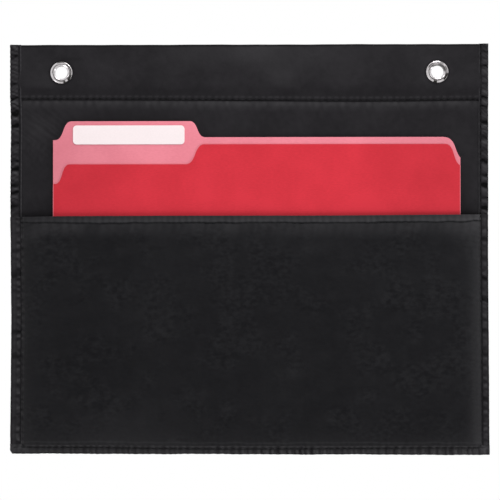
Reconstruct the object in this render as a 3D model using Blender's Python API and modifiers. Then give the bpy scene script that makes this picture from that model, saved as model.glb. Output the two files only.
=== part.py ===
"""Hanging document pocket: a cloth panel on two eyelets, with a sewn front pocket that holds a folder.

Run it with blender --background --python part.py, or from Blender's text editor.
Metres, +Z up. The front faces -Y and the wall is the plane Y = 0. The origin lies midway
between the two eyelets, on that plane. Cloth is counted in plies from the wall: ply 0 is the
back panel, and each further ply lies one clearance in front of the one before.
"""

import math

import bmesh
import bpy
from mathutils import Vector

MM = 0.001

# The hanging panel
PANEL_WIDTH = 350 * MM
PANEL_HEIGHT = 300 * MM
CLOTH = 0.5 * MM
GAP = 0.3 * MM  # clearance between pieces that lie on, or pass through, one another

# Margins turned over to the front, and how far their stitches lie inside their free edge
HEADER_HEIGHT = 41 * MM
HEADER_STITCH_INSET = 1.0 * MM
LEFT_HEM_WIDTH = 8.1 * MM
RIGHT_HEM_WIDTH = 5.9 * MM
HEM_STITCH_INSET = 0.9 * MM
HEM_STEP = 6 * MM  # length over which a side hem climbs onto the header band

# The pocket, measured from the panel's lower edge and from its sides
POCKET_HEIGHT = 174.5 * MM
POCKET_ROOM = 5.4 * MM  # between the closed folder and the pocket's front
POCKET_BOW = 1.5 * MM  # how much further the middle of the lip stands forward
LEFT_SEAM_WIDTH = 8.8 * MM
RIGHT_SEAM_WIDTH = 5.7 * MM
SEAM_STITCH_INSET = 1.2 * MM
SEAM_TURN = 4.4 * MM  # width of the pocket cloth turned under at each side
BOTTOM_MARGIN = 5.1 * MM
BOTTOM_STITCH_INSET = 0.9 * MM
SIDE_CURVE = 12 * MM  # length over which the pocket's sides curve forward
FLOOR_CURVE = 3.6 * MM  # height over which its floor curves up into its front
FLOOR_SHARE = 0.75  # of the pocket's depth that the floor takes, before the front begins
LIP_HEM_HEIGHT = 7 * MM
LIP_STITCH_DROP = 5.7 * MM
THREAD_RADIUS = 0.25 * MM
THREAD_END = 1.5 * MM  # how far a row of stitches stops short of an outer edge

# Eyelets: a flanged barrel from behind, rolled over a washer in front
EYELET_INSET = 37.5 * MM  # from the panel's side to an eyelet's centre
EYELET_DROP = 20.5 * MM
BORE_RADIUS = 4.6 * MM
BARREL_WALL = 0.45 * MM
FLANGE_RADIUS = 7.9 * MM
FLANGE_THICKNESS = 0.6 * MM
FLANGE_ROUND = 0.25 * MM
ROLL_RADIUS = 6.0 * MM
ROLL_HEIGHT = 0.7 * MM
WASHER_RADIUS = 8.25 * MM
WASHER_THICKNESS = 0.4 * MM
WASHER_DOME = 0.45 * MM

# The folder: one sheet of card folded at the bottom, with a tab on its back leaf.
# Heights are measured from the fold, and widths from the left edge.
CARD = 0.4 * MM
LEAF_GAP = 0.4 * MM
FOLDER_LEFT = 31.6 * MM  # room between the panel's left edge and the folder
FOLDER_RIGHT = 20.9 * MM
TAB_TOP = 237.4 * MM
BACK_TOP = 225.6 * MM
BACK_SHELF = 223.6 * MM
BACK_CORNER = 210.6 * MM
TAB_START = 13.4 * MM
TAB_END = 100.3 * MM
SHOULDER_WIDTH = 11.0 * MM
FRONT_TOP = 220.4 * MM
FRONT_NOTCH = 205.8 * MM
FRONT_SHELF = 191.4 * MM
FRONT_CORNER = 204.9 * MM
NOTCH_START = 11.9 * MM
NOTCH_END = 97.6 * MM
NOTCH_SHOULDER = 13.2 * MM
SHELF_WIDTH = 1.6 * MM  # flat step at the left edge, below each curve
BACK_CORNER_WIDTH = 12.6 * MM
FRONT_CORNER_WIDTH = 10.8 * MM
CURVE_PULL_SHARE = 0.35  # how much steeper than a plain wave the curves are at their middle
BACK_LEAN_SHARE = 0.75  # how much longer than even the right corner's curve keeps near the edge
FRONT_LEAN_SHARE = 0.2

# The blank label on the tab
LABEL_WIDTH = 81.7 * MM
LABEL_HEIGHT = 13.9 * MM
LABEL_CORNER = 2.6 * MM
LABEL_THICKNESS = 0.2 * MM
LABEL_LEFT = 14.7 * MM
LABEL_DROP = 3.1 * MM

# Fineness of the curved surfaces
FOLD_STEPS = 6
CURVE_STEPS = 5
FRONT_COLUMNS = 8
FRONT_ROWS = 5
TURN_STEPS = 24
OUTLINE_STEPS = 12
CORNER_STEPS = 4
SMOOTH_ANGLE = math.radians(40)

TOP = EYELET_DROP
BOTTOM = EYELET_DROP - PANEL_HEIGHT
LEFT = -PANEL_WIDTH / 2
RIGHT = PANEL_WIDTH / 2
LIP = BOTTOM + POCKET_HEIGHT


# Places that several pieces share

def ply(number):
    """Y of the middle of a ply of cloth."""
    return -(FLANGE_THICKNESS + GAP + CLOTH / 2 + number * (CLOTH + GAP))


def fold_inset(first, last):
    """From the outer edge of a fold that joins two plies to the centre of its bend."""
    return (ply(first) - ply(last) + CLOTH) / 2


def on_ply(number):
    """Y of a thread that lies on the front of a ply."""
    return ply(number) - CLOTH / 2 - GAP - THREAD_RADIUS


HEM_FOOT = fold_inset(0, 2) + GAP  # how far a side hem reaches inward on ply 0
PANEL_SIDE = HEM_FOOT + GAP
WASHER_BACK = -ply(1) + CLOTH / 2 + GAP
ROLL_BACK = WASHER_BACK + WASHER_THICKNESS + GAP
BACK_LEAF = -(ROLL_BACK + ROLL_HEIGHT + GAP + CARD / 2)
FRONT_LEAF = BACK_LEAF - CARD - LEAF_GAP
FRONT_WALL = FRONT_LEAF - CARD / 2 - POCKET_ROOM - CLOTH / 2

POCKET_LEFT = LEFT + LEFT_SEAM_WIDTH + GAP + CLOTH / 2
POCKET_RIGHT = RIGHT - RIGHT_SEAM_WIDTH - GAP - CLOTH / 2
FLOOR = BOTTOM + BOTTOM_MARGIN + GAP + CLOTH / 2
LIP_BEND = LIP - fold_inset(0, 1)

FOLDER_EDGE = LEFT + FOLDER_LEFT
FOLDER_WIDTH = PANEL_WIDTH - FOLDER_LEFT - FOLDER_RIGHT
CREASE_RADIUS = (CARD + LEAF_GAP) / 2


def rise_share(distance, length):
    """Quarter of an ellipse: 0 at the seam and 1 from the given length on."""
    along = min(max(distance / length, 0), 1)
    return math.sqrt(1 - (1 - along) ** 2)


def pocket_y(x, z):
    """The middle of the pocket's cloth, which leaves its seams at ply 3 and curves forward."""
    sides = rise_share(x - POCKET_LEFT, SIDE_CURVE) * rise_share(POCKET_RIGHT - x, SIDE_CURVE)
    forward = (ply(3) - FRONT_WALL) * sides * rise_share(z - FLOOR, FLOOR_CURVE)
    across = (x - POCKET_LEFT) / (POCKET_RIGHT - POCKET_LEFT)
    up = (z - FLOOR) / (LIP - FLOOR)
    return ply(3) - forward - POCKET_BOW * math.sin(math.pi * across) * up


def curve_height(share):
    """Height over the floor's seam at a share of the pocket's depth."""
    return FLOOR_CURVE * (1 - math.sqrt(1 - share**2))


def curve_shares():
    """Shares of a curved length, close together where the curve leaves its seam."""
    return [1 - math.cos(math.pi / 2 * i / CURVE_STEPS) for i in range(CURVE_STEPS + 1)]


def middle_columns():
    """X of each column of the pocket's floor and front, between its curved sides."""
    start = POCKET_LEFT + SIDE_CURVE + GAP
    end = POCKET_RIGHT - SIDE_CURVE - GAP
    return [start + (end - start) * i / FRONT_COLUMNS for i in range(FRONT_COLUMNS + 1)]


def even_rows(low, high):
    """Z of each row of the pocket's flatter stretch."""
    return [low + (high - low) * i / FRONT_ROWS for i in range(FRONT_ROWS + 1)]


def floor_rest(y):
    """Z at which a piece in front of the seam stands on the pocket's floor, with clearance."""
    share = (ply(3) - y) / (ply(3) - FRONT_WALL)
    slope = FLOOR_CURVE / (ply(3) - FRONT_WALL) * share / math.sqrt(1 - share**2)
    return FLOOR + curve_height(share) + CLOTH / 2 * math.hypot(1, slope) + GAP


FOOT = FLOOR + curve_height(FLOOR_SHARE)
FOOT_Y = ply(3) - (ply(3) - FRONT_WALL) * FLOOR_SHARE
FOLD_BOTTOM = floor_rest(FRONT_LEAF - CARD / 2)
CREASE = FOLD_BOTTOM + CREASE_RADIUS + CARD / 2


# Materials

def surface(name, colour, roughness, metallic=0.0):
    """A Principled material with one colour."""
    material = bpy.data.materials.new(name)
    material.use_nodes = True
    shader = material.node_tree.nodes["Principled BSDF"]
    shader.inputs["Base Color"].default_value = (*colour, 1)
    shader.inputs["Roughness"].default_value = roughness
    shader.inputs["Metallic"].default_value = metallic
    material.diffuse_color = (*colour, 1)
    return material


def black_cloth():
    """Closely woven black nylon."""
    return surface("black_cloth", (0.018, 0.018, 0.020), 0.7)


def black_thread():
    """Sewing thread of the cloth's colour."""
    return surface("black_thread", (0.010, 0.010, 0.011), 0.6)


def bright_nickel():
    """Polished plating on the eyelets."""
    return surface("bright_nickel", (0.80, 0.79, 0.77), 0.14, 1.0)


def red_card():
    """The folder's outer face."""
    return surface("red_card", (0.60, 0.038, 0.054), 0.6)


def pink_card():
    """The paler inner face that the tab shows."""
    return surface("pink_card", (0.82, 0.25, 0.31), 0.6)


def white_paper():
    """The blank label."""
    return surface("white_paper", (0.94, 0.90, 0.90), 0.5)


# Tools that make one object

def clear_scene():
    """Remove whatever the file holds."""
    for obj in list(bpy.data.objects):
        bpy.data.objects.remove(obj)


def collection(name):
    """A new collection in the scene."""
    made = bpy.data.collections.new(name)
    bpy.context.scene.collection.children.link(made)
    return made


def place(obj, material):
    """Put a finished object among the parts."""
    obj.data.materials.append(material)
    PARTS.objects.link(obj)
    return obj


def smooth_mesh(name, vertices, faces):
    """A mesh with round stretches shaded smooth."""
    mesh = bpy.data.meshes.new(name)
    mesh.from_pydata(vertices, [], faces)
    mesh.shade_smooth()
    mesh.set_sharp_from_angle(angle=SMOOTH_ANGLE)
    return mesh


def cloth_piece(name, sections):
    """A sheet of cloth lofted through sections of equal length, with its thickness."""
    across = len(sections[0])
    vertices = [point for section in sections for point in section]
    faces = [
        (row * across + i, row * across + i + 1, (row + 1) * across + i + 1, (row + 1) * across + i)
        for row in range(len(sections) - 1)
        for i in range(across - 1)
    ]
    obj = bpy.data.objects.new(name, smooth_mesh(name, vertices, faces))
    thickness = obj.modifiers.new("Thickness", "SOLIDIFY")
    thickness.thickness = CLOTH
    thickness.offset = 0
    thickness.use_even_offset = True
    return place(obj, CLOTH_MATERIAL)


def fold_path(first, last, start, width):
    """Points (inset, y) of a margin: from a start on the first ply, round the outer edge and in."""
    centre = fold_inset(first, last)
    radius = centre - CLOTH / 2
    middle = (ply(first) + ply(last)) / 2
    bend = [
        (centre - radius * math.sin(turn), middle + radius * math.cos(turn))
        for turn in (math.pi * i / FOLD_STEPS for i in range(FOLD_STEPS + 1))
    ]
    lead = [(start, ply(first))] if start > centre else []
    return lead + bend + [(width, ply(last))]


def flat_piece(name, outline, middle_y, thickness, material):
    """A flat piece that stands upright: a filled outline of (x, z) points with a thickness."""
    curve = bpy.data.curves.new(name, "CURVE")
    curve.dimensions = "2D"
    curve.fill_mode = "BOTH"
    curve.extrude = thickness / 2
    spline = curve.splines.new("POLY")
    spline.points.add(len(outline) - 1)
    for point, (x, z) in zip(spline.points, outline):
        point.co = (x, z, 0, 1)
    spline.use_cyclic_u = True
    obj = bpy.data.objects.new(name, curve)
    obj.rotation_euler.x = math.pi / 2
    obj.location.y = middle_y
    return place(obj, material)


def thread(name, points):
    """A row of stitches: one continuous thread laid through its points."""
    curve = bpy.data.curves.new(name, "CURVE")
    curve.dimensions = "3D"
    curve.bevel_depth = THREAD_RADIUS
    curve.bevel_resolution = 0
    curve.use_fill_caps = True
    spline = curve.splines.new("POLY")
    spline.points.add(len(points) - 1)
    for point, place_of in zip(spline.points, points):
        point.co = (*place_of, 1)
    return place(bpy.data.objects.new(name, curve), THREAD_MATERIAL)


def turned_piece(name, profile, x):
    """A ring turned round an eyelet's axis from a closed profile of (radius, height) points."""
    count = len(profile)
    mesh = bpy.data.meshes.new(name)
    mesh.from_pydata([(r, 0, h) for r, h in profile], [(i, (i + 1) % count) for i in range(count)], [])
    obj = bpy.data.objects.new(name, mesh)
    turn = obj.modifiers.new("Turn", "SCREW")
    turn.axis = "Z"
    turn.steps = TURN_STEPS
    turn.render_steps = TURN_STEPS
    turn.use_merge_vertices = True
    turn.merge_threshold = GAP / 100
    turn.use_smooth_shade = True
    obj.rotation_euler.x = math.pi / 2
    obj.location.x = x
    return place(obj, NICKEL_MATERIAL)


def arc(centre, across, up, start, end, steps):
    """Points on part of an ellipse, with both ends."""
    turns = (start + (end - start) * i / steps for i in range(steps + 1))
    return [(centre[0] + across * math.cos(t), centre[1] + up * math.sin(t)) for t in turns]


def bore_cutter(x):
    """A round cutter for the hole that an eyelet's barrel passes through."""
    mesh = bpy.data.meshes.new("bore_cutter")
    solid = bmesh.new()
    radius = BORE_RADIUS + BARREL_WALL + GAP
    depth = 2 * WASHER_BACK
    bmesh.ops.create_cone(
        solid, cap_ends=True, segments=TURN_STEPS, radius1=radius, radius2=radius, depth=depth
    )
    solid.to_mesh(mesh)
    solid.free()
    cutter = bpy.data.objects.new("bore_cutter", mesh)
    cutter.rotation_euler.x = math.pi / 2
    cutter.location = (x, -depth / 2, 0)
    cutter.hide_render = True
    cutter.display_type = "WIRE"
    CUTTERS.objects.link(cutter)
    return cutter


def cut_bores(obj):
    """Cut both eyelet holes through a ply of cloth."""
    for cutter in BORE_CUTTERS:
        cut = obj.modifiers.new("Bore", "BOOLEAN")
        cut.operation = "DIFFERENCE"
        cut.object = cutter


def pivot(name, y, z):
    """An empty on a joint's axis."""
    empty = bpy.data.objects.new(name, None)
    empty.location = (0, y, z)
    empty.empty_display_size = PANEL_WIDTH / 2
    PARTS.objects.link(empty)
    return empty


def carry(parent, *objects):
    """Parent objects to what carries them, where they already are."""
    bpy.context.view_layer.update()
    for obj in objects:
        obj.parent = parent
        obj.matrix_parent_inverse = parent.matrix_world.inverted()


# The hanging panel's cloth

def back_panel():
    """Ply 0, inside the folds of its four margins."""
    low = BOTTOM + fold_inset(0, 3) + GAP
    high = TOP - fold_inset(0, 1) - GAP
    mesh = bpy.data.meshes.new("back_panel")
    solid = bmesh.new()
    bmesh.ops.create_cube(solid, size=1)
    size = Vector((PANEL_WIDTH - 2 * PANEL_SIDE, CLOTH, high - low))
    bmesh.ops.scale(solid, vec=size, verts=solid.verts)
    solid.to_mesh(mesh)
    solid.free()
    obj = bpy.data.objects.new("back_panel", mesh)
    obj.location = (0, ply(0), (low + high) / 2)
    cut_bores(obj)
    return place(obj, CLOTH_MATERIAL)


def header_band():
    """The top margin, turned over the upper edge to the front."""
    path = fold_path(0, 1, 0, HEADER_HEIGHT)
    ends = (LEFT + PANEL_SIDE, RIGHT - PANEL_SIDE)
    sections = [[(x, y, TOP - inset) for inset, y in path] for x in ends]
    obj = cloth_piece("header_band", sections)
    cut_bores(obj)
    return obj


def hem_levels():
    """(z, ply) along a side hem, which climbs onto the header band."""
    edge = TOP - HEADER_HEIGHT - GAP
    low = BOTTOM + fold_inset(0, 3) + GAP
    return [(low, 1), (edge - HEM_STEP, 1), (edge, 2), (TOP, 2)]


def side_hem(name, edge, inward, width):
    """A side margin of the back panel, turned over to the front."""
    sections = [
        [(edge + inward * inset, y, z) for inset, y in fold_path(0, level, HEM_FOOT, width)]
        for z, level in hem_levels()
    ]
    return cloth_piece(name, sections)


def pocket_bottom_fold():
    """The cloth's turn at the lower edge, from the back panel to the pocket's front."""
    path = fold_path(0, 3, 0, BOTTOM_MARGIN)
    sections = [[(x, y, BOTTOM + inset) for inset, y in path] for x in (LEFT, RIGHT)]
    return cloth_piece("pocket_bottom_fold", sections)


def pocket_seam(name, edge, inward, width):
    """A side of the pocket, turned under itself and sewn down on the side hem."""
    path = fold_path(2, 3, SEAM_TURN, width)
    sections = [
        [(edge + inward * inset, y, z) for inset, y in path]
        for z in (BOTTOM + BOTTOM_MARGIN + GAP, LIP)
    ]
    return cloth_piece(name, sections)


def pocket_rows(columns, heights):
    """Sections of the pocket's surface at the given heights."""
    return [[(x, pocket_y(x, z), z) for x in columns] for z in heights]


def lip_line(columns, z, inward):
    """Points (x, y) along the pocket's front at a height, moved into the pocket by a distance."""
    line = [Vector((x, pocket_y(x, z))) for x in columns]
    moved = []
    for i, point in enumerate(line):
        along = (line[min(i + 1, len(line) - 1)] - line[max(i - 1, 0)]).normalized()
        moved.append(point + inward * Vector((-along.y, along.x)))
    return moved


def lip_rows(columns):
    """Sections of the upper margin, which turns over the lip to the inside."""
    radius = fold_inset(0, 1) - CLOTH / 2
    sections = []
    for turn in (math.pi * i / FOLD_STEPS for i in range(FOLD_STEPS + 1)):
        line = lip_line(columns, LIP_BEND, radius * (1 - math.cos(turn)))
        sections.append([(x, y, LIP_BEND + radius * math.sin(turn)) for x, y in line])
    foot = lip_line(columns, LIP_BEND, 2 * radius)
    return sections + [[(x, y, LIP - LIP_HEM_HEIGHT) for x, y in foot]]


def pocket_floor():
    """The pocket's curved floor, which the folder stands on."""
    heights = [FLOOR + curve_height(FLOOR_SHARE * share) for share in curve_shares()]
    return cloth_piece("pocket_floor", pocket_rows(middle_columns(), heights))


def pocket_side(name, seam, inward):
    """A side of the pocket, which curves from its seam to the front, with its part of the lip."""
    columns = sorted(seam + inward * SIDE_CURVE * share for share in curve_shares())
    curve = [FLOOR + FLOOR_CURVE * share for share in curve_shares()]
    heights = curve[:-1] + even_rows(curve[-1], LIP_BEND)[:-1]
    return cloth_piece(name, pocket_rows(columns, heights) + lip_rows(columns))


def pocket_panel():
    """The pocket's front, from its floor to its lip."""
    rise = [FOOT + (FLOOR + FLOOR_CURVE - FOOT) * share for share in curve_shares()]
    heights = [z + GAP for z in rise[:-1]] + even_rows(rise[-1] + GAP, LIP_BEND - GAP)
    return cloth_piece("pocket_panel", pocket_rows(middle_columns(), heights))


def pocket_lip_hem():
    """The pocket's upper margin, turned over the lip to the inside."""
    return cloth_piece("pocket_lip_hem", lip_rows(middle_columns()))


# Stitches

def header_stitching():
    """The row that sews the header band down, between the side hems."""
    z = TOP - HEADER_HEIGHT + HEADER_STITCH_INSET
    ends = (LEFT + LEFT_HEM_WIDTH + THREAD_END, RIGHT - RIGHT_HEM_WIDTH - THREAD_END)
    return thread("header_stitching", [(x, on_ply(1), z) for x in ends])


def hem_stitching(name, edge, inward, width):
    """The row along a side hem, from the pocket's lip to the top."""
    x = edge + inward * (width - HEM_STITCH_INSET)
    start = (LIP + GAP + THREAD_RADIUS, 1)
    end = (TOP - THREAD_END, 2)
    levels = [start] + hem_levels()[1:3] + [end]
    return thread(name, [(x, on_ply(level), z) for z, level in levels])


def seam_stitching(name, edge, inward, width):
    """The row that sews one side of the pocket down."""
    x = edge + inward * (width - SEAM_STITCH_INSET)
    return thread(name, [(x, on_ply(3), z) for z in (BOTTOM + BOTTOM_MARGIN + THREAD_END, LIP - THREAD_END)])


def bottom_stitching():
    """The row along the pocket's foot."""
    z = BOTTOM + BOTTOM_MARGIN - BOTTOM_STITCH_INSET
    return thread("bottom_stitching", [(x, on_ply(3), z) for x in (LEFT + THREAD_END, RIGHT - THREAD_END)])


def lip_stitching():
    """The row below the lip, between the pocket's curved sides."""
    z = LIP - LIP_STITCH_DROP
    line = lip_line(middle_columns(), z, -(CLOTH / 2 + GAP + THREAD_RADIUS))
    return thread("lip_stitching", [(x, y, z) for x, y in line])


# Eyelets

def eyelet_grommet(name, x):
    """A rear flange and a barrel, rolled outwards at the front."""
    barrel = BORE_RADIUS + BARREL_WALL
    roll_middle = (BORE_RADIUS + ROLL_RADIUS) / 2
    roll = arc((roll_middle, ROLL_BACK), ROLL_RADIUS - roll_middle, ROLL_HEIGHT, math.pi, 0, FOLD_STEPS)
    rim_centre = (FLANGE_RADIUS - FLANGE_ROUND, FLANGE_THICKNESS - FLANGE_ROUND)
    rim = arc(rim_centre, FLANGE_ROUND, FLANGE_ROUND, math.pi / 2, 0, 2)
    foot_centre = (FLANGE_RADIUS - FLANGE_ROUND, FLANGE_ROUND)
    foot = arc(foot_centre, FLANGE_ROUND, FLANGE_ROUND, 0, -math.pi / 2, 2)
    mouth_centre = (BORE_RADIUS + FLANGE_ROUND, FLANGE_ROUND)
    mouth = arc(mouth_centre, FLANGE_ROUND, FLANGE_ROUND, -math.pi / 2, -math.pi, 2)
    neck = [(barrel, ROLL_BACK), (barrel, FLANGE_THICKNESS)]
    return turned_piece(name, roll + neck + rim + foot + mouth, x)


def eyelet_washer(name, x):
    """A dished ring under the barrel's roll."""
    inner = BORE_RADIUS + BARREL_WALL + GAP
    seat = ROLL_RADIUS + GAP
    front = WASHER_BACK + WASHER_THICKNESS
    dome = arc(((seat + WASHER_RADIUS) / 2, front), (WASHER_RADIUS - seat) / 2, WASHER_DOME, math.pi, 0, FOLD_STEPS)
    profile = [(inner, front)] + dome + [(WASHER_RADIUS, WASHER_BACK), (inner, WASHER_BACK)]
    return turned_piece(name, profile, x)


# The folder

def s_curve(start, end, lean_share=0):
    """Points of a smooth S from one height to another, steeper at its middle than a plain wave.

    A lean share keeps the curve longer near its start, which then is no more level.
    """
    points = []
    for i in range(OUTLINE_STEPS + 1):
        t = i / OUTLINE_STEPS
        even = t + CURVE_PULL_SHARE * math.sin(2 * math.pi * t) / (2 * math.pi)
        along = even ** (1 + lean_share)
        up = (1 - math.cos(math.pi * t)) / 2
        points.append((start[0] + (end[0] - start[0]) * along, start[1] + (end[1] - start[1]) * up))
    return points


def right_corner(corner, top, width, lean_share):
    """A leaf's curve from its right edge up to its top."""
    return s_curve((FOLDER_WIDTH, corner), (FOLDER_WIDTH - width, top), lean_share)


def leaf_outline(right, top, shoulder_end, shoulder_start, raised, raised_start, shelf):
    """A leaf's outline from its lower edge: right corner, top, step at the tab, left shelf."""
    low = CREASE - FOLD_BOTTOM + GAP
    shoulder = s_curve((shoulder_end, top), (shoulder_start, raised))
    left = s_curve((raised_start, raised), (SHELF_WIDTH, shelf))
    points = [(0, low), (FOLDER_WIDTH, low)] + right + shoulder + left + [(0, shelf)]
    return [(FOLDER_EDGE + x, FOLD_BOTTOM + z) for x, z in points]


def folder_back_leaf():
    """The leaf with the tab, which stands behind."""
    corner = right_corner(BACK_CORNER, BACK_TOP, BACK_CORNER_WIDTH, BACK_LEAN_SHARE)
    outline = leaf_outline(
        corner, BACK_TOP, TAB_END + SHOULDER_WIDTH, TAB_END, TAB_TOP, TAB_START, BACK_SHELF
    )
    return flat_piece("folder_back_leaf", outline, BACK_LEAF, CARD, pink_card())


def folder_front_leaf():
    """The lower leaf in front, cut away below the tab."""
    corner = right_corner(FRONT_CORNER, FRONT_TOP, FRONT_CORNER_WIDTH, FRONT_LEAN_SHARE)
    outline = leaf_outline(
        corner, FRONT_TOP, NOTCH_END + NOTCH_SHOULDER, NOTCH_END, FRONT_NOTCH, NOTCH_START, FRONT_SHELF
    )
    return flat_piece("folder_front_leaf", outline, FRONT_LEAF, CARD, red_card())


def folder_crease():
    """The card's rounded fold, which joins the two leaves."""
    middle = (BACK_LEAF + FRONT_LEAF) / 2
    outer = CREASE_RADIUS + CARD / 2
    inner = CREASE_RADIUS - CARD / 2
    profile = arc((0, 0), outer, outer, -math.pi, 0, FOLD_STEPS)
    profile += arc((0, 0), inner, inner, 0, -math.pi, FOLD_STEPS)
    curve = bpy.data.curves.new("folder_crease", "CURVE")
    curve.dimensions = "2D"
    curve.fill_mode = "BOTH"
    curve.extrude = FOLDER_WIDTH / 2
    spline = curve.splines.new("POLY")
    spline.points.add(len(profile) - 1)
    for point, (y, z) in zip(spline.points, profile):
        point.co = (y, z, 0, 1)
    spline.use_cyclic_u = True
    obj = bpy.data.objects.new("folder_crease", curve)
    obj.rotation_euler = (math.pi / 2, 0, math.pi / 2)
    obj.location = (FOLDER_EDGE + FOLDER_WIDTH / 2, middle, CREASE)
    return place(obj, red_card())


def folder_label():
    """A blank label with round corners, stuck on the tab."""
    low = FOLD_BOTTOM + TAB_TOP - LABEL_DROP - LABEL_HEIGHT
    left = FOLDER_EDGE + LABEL_LEFT
    corners = (
        (left + LABEL_CORNER, low + LABEL_CORNER, math.pi),
        (left + LABEL_WIDTH - LABEL_CORNER, low + LABEL_CORNER, 1.5 * math.pi),
        (left + LABEL_WIDTH - LABEL_CORNER, low + LABEL_HEIGHT - LABEL_CORNER, 0),
        (left + LABEL_CORNER, low + LABEL_HEIGHT - LABEL_CORNER, math.pi / 2),
    )
    outline = []
    for x, z, turn in corners:
        outline += arc((x, z), LABEL_CORNER, LABEL_CORNER, turn, turn + math.pi / 2, CORNER_STEPS)
    middle = BACK_LEAF - CARD / 2 - GAP - LABEL_THICKNESS / 2
    return flat_piece("folder_label", outline, middle, LABEL_THICKNESS, white_paper())


clear_scene()
PARTS = collection("hanging_document_pocket")
CUTTERS = collection("cutters")
CLOTH_MATERIAL = black_cloth()
THREAD_MATERIAL = black_thread()
NICKEL_MATERIAL = bright_nickel()
EYELETS = {"left": LEFT + EYELET_INSET, "right": RIGHT - EYELET_INSET}
BORE_CUTTERS = [bore_cutter(x) for x in EYELETS.values()]

back_panel()
header_band()
side_hem("left_side_hem", LEFT, 1, LEFT_HEM_WIDTH)
side_hem("right_side_hem", RIGHT, -1, RIGHT_HEM_WIDTH)
pocket_bottom_fold()
pocket_seam("pocket_left_seam", LEFT, 1, LEFT_SEAM_WIDTH)
pocket_seam("pocket_right_seam", RIGHT, -1, RIGHT_SEAM_WIDTH)
pocket_floor()
pocket_side("pocket_left_side", POCKET_LEFT, 1)
pocket_side("pocket_right_side", POCKET_RIGHT, -1)
header_stitching()
hem_stitching("left_hem_stitching", LEFT, 1, LEFT_HEM_WIDTH)
hem_stitching("right_hem_stitching", RIGHT, -1, RIGHT_HEM_WIDTH)
seam_stitching("left_seam_stitching", LEFT, 1, LEFT_SEAM_WIDTH)
seam_stitching("right_seam_stitching", RIGHT, -1, RIGHT_SEAM_WIDTH)
bottom_stitching()
for side, place_x in EYELETS.items():
    eyelet_grommet(f"eyelet_{side}_grommet", place_x)
    eyelet_washer(f"eyelet_{side}_washer", place_x)

carry(
    pivot("pocket_mouth_axis", FOOT_Y, FOOT + GAP / 2),
    pocket_panel(),
    pocket_lip_hem(),
    lip_stitching(),
)
lift = pivot("folder_lift_axis", (BACK_LEAF + FRONT_LEAF) / 2, FOLD_BOTTOM)
fold = pivot("folder_fold_axis", (BACK_LEAF + FRONT_LEAF) / 2, CREASE)
carry(lift, fold, folder_back_leaf(), folder_crease(), folder_label())
carry(fold, folder_front_leaf())

for axis in (PARTS.objects["pocket_mouth_axis"], fold, lift):
    print(axis.name, [round(value, 6) for value in axis.matrix_world.translation])
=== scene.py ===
"""Looks of the hanging document pocket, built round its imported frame.

A black nylon panel hangs from two eyelets. Its margins are turned over to the front and sewn,
and a second layer of the same cloth makes one wide pocket, in which a tabbed card folder stands.
Metres, +Z up. The front faces -Y and the wall is the plane Y = 0.
"""

import logging
import math
from collections.abc import Callable, Sequence
from dataclasses import dataclass, field, replace
from enum import Enum

import bpy
import numpy as np
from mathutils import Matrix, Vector

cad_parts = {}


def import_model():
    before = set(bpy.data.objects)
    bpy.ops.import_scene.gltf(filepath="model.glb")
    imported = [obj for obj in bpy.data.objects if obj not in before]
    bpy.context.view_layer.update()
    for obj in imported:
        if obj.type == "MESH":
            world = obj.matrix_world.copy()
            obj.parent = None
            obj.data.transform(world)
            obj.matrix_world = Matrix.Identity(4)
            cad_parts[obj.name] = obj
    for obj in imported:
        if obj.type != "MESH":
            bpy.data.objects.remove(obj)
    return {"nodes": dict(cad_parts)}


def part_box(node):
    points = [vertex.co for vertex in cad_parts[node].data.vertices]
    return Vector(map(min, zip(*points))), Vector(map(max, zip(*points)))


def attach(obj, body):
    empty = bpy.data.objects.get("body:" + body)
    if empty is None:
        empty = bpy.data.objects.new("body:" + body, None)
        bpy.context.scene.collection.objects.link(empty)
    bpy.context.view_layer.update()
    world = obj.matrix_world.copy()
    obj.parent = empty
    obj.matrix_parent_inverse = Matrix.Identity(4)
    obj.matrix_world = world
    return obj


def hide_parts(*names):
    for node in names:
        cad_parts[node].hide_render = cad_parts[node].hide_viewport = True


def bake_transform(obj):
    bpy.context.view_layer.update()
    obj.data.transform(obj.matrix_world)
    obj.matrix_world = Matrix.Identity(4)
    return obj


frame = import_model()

LOG = logging.getLogger("document_pocket")
MM = 0.001
SHARP = math.radians(55)
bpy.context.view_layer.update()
EYELET_X = 137.5 * MM
FRONT = np.array([0, -1, 0])
UP = np.array([0, 0, 1])

Colour = tuple[float, float, float]
Array = np.ndarray
Piece = bpy.types.Object
Material = bpy.types.Material


class Body(Enum):
    """The bodies of the frame that new pieces ride on."""

    PANEL = "hanging_panel"
    POCKET = "pocket_front"


class Slot(Enum):
    """The record's material slots, which no piece here is put in."""

    CLOTH = "black_cloth"
    THREAD = "black_thread"
    NICKEL = "bright_nickel"


class Side(Enum):
    """Left or right as seen from the front, with the direction from that edge inward."""

    LEFT = 1
    RIGHT = -1

    @property
    def label(self) -> str:
        """The side's name in lower case."""
        return self.name.lower()


# Shader maths


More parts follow.
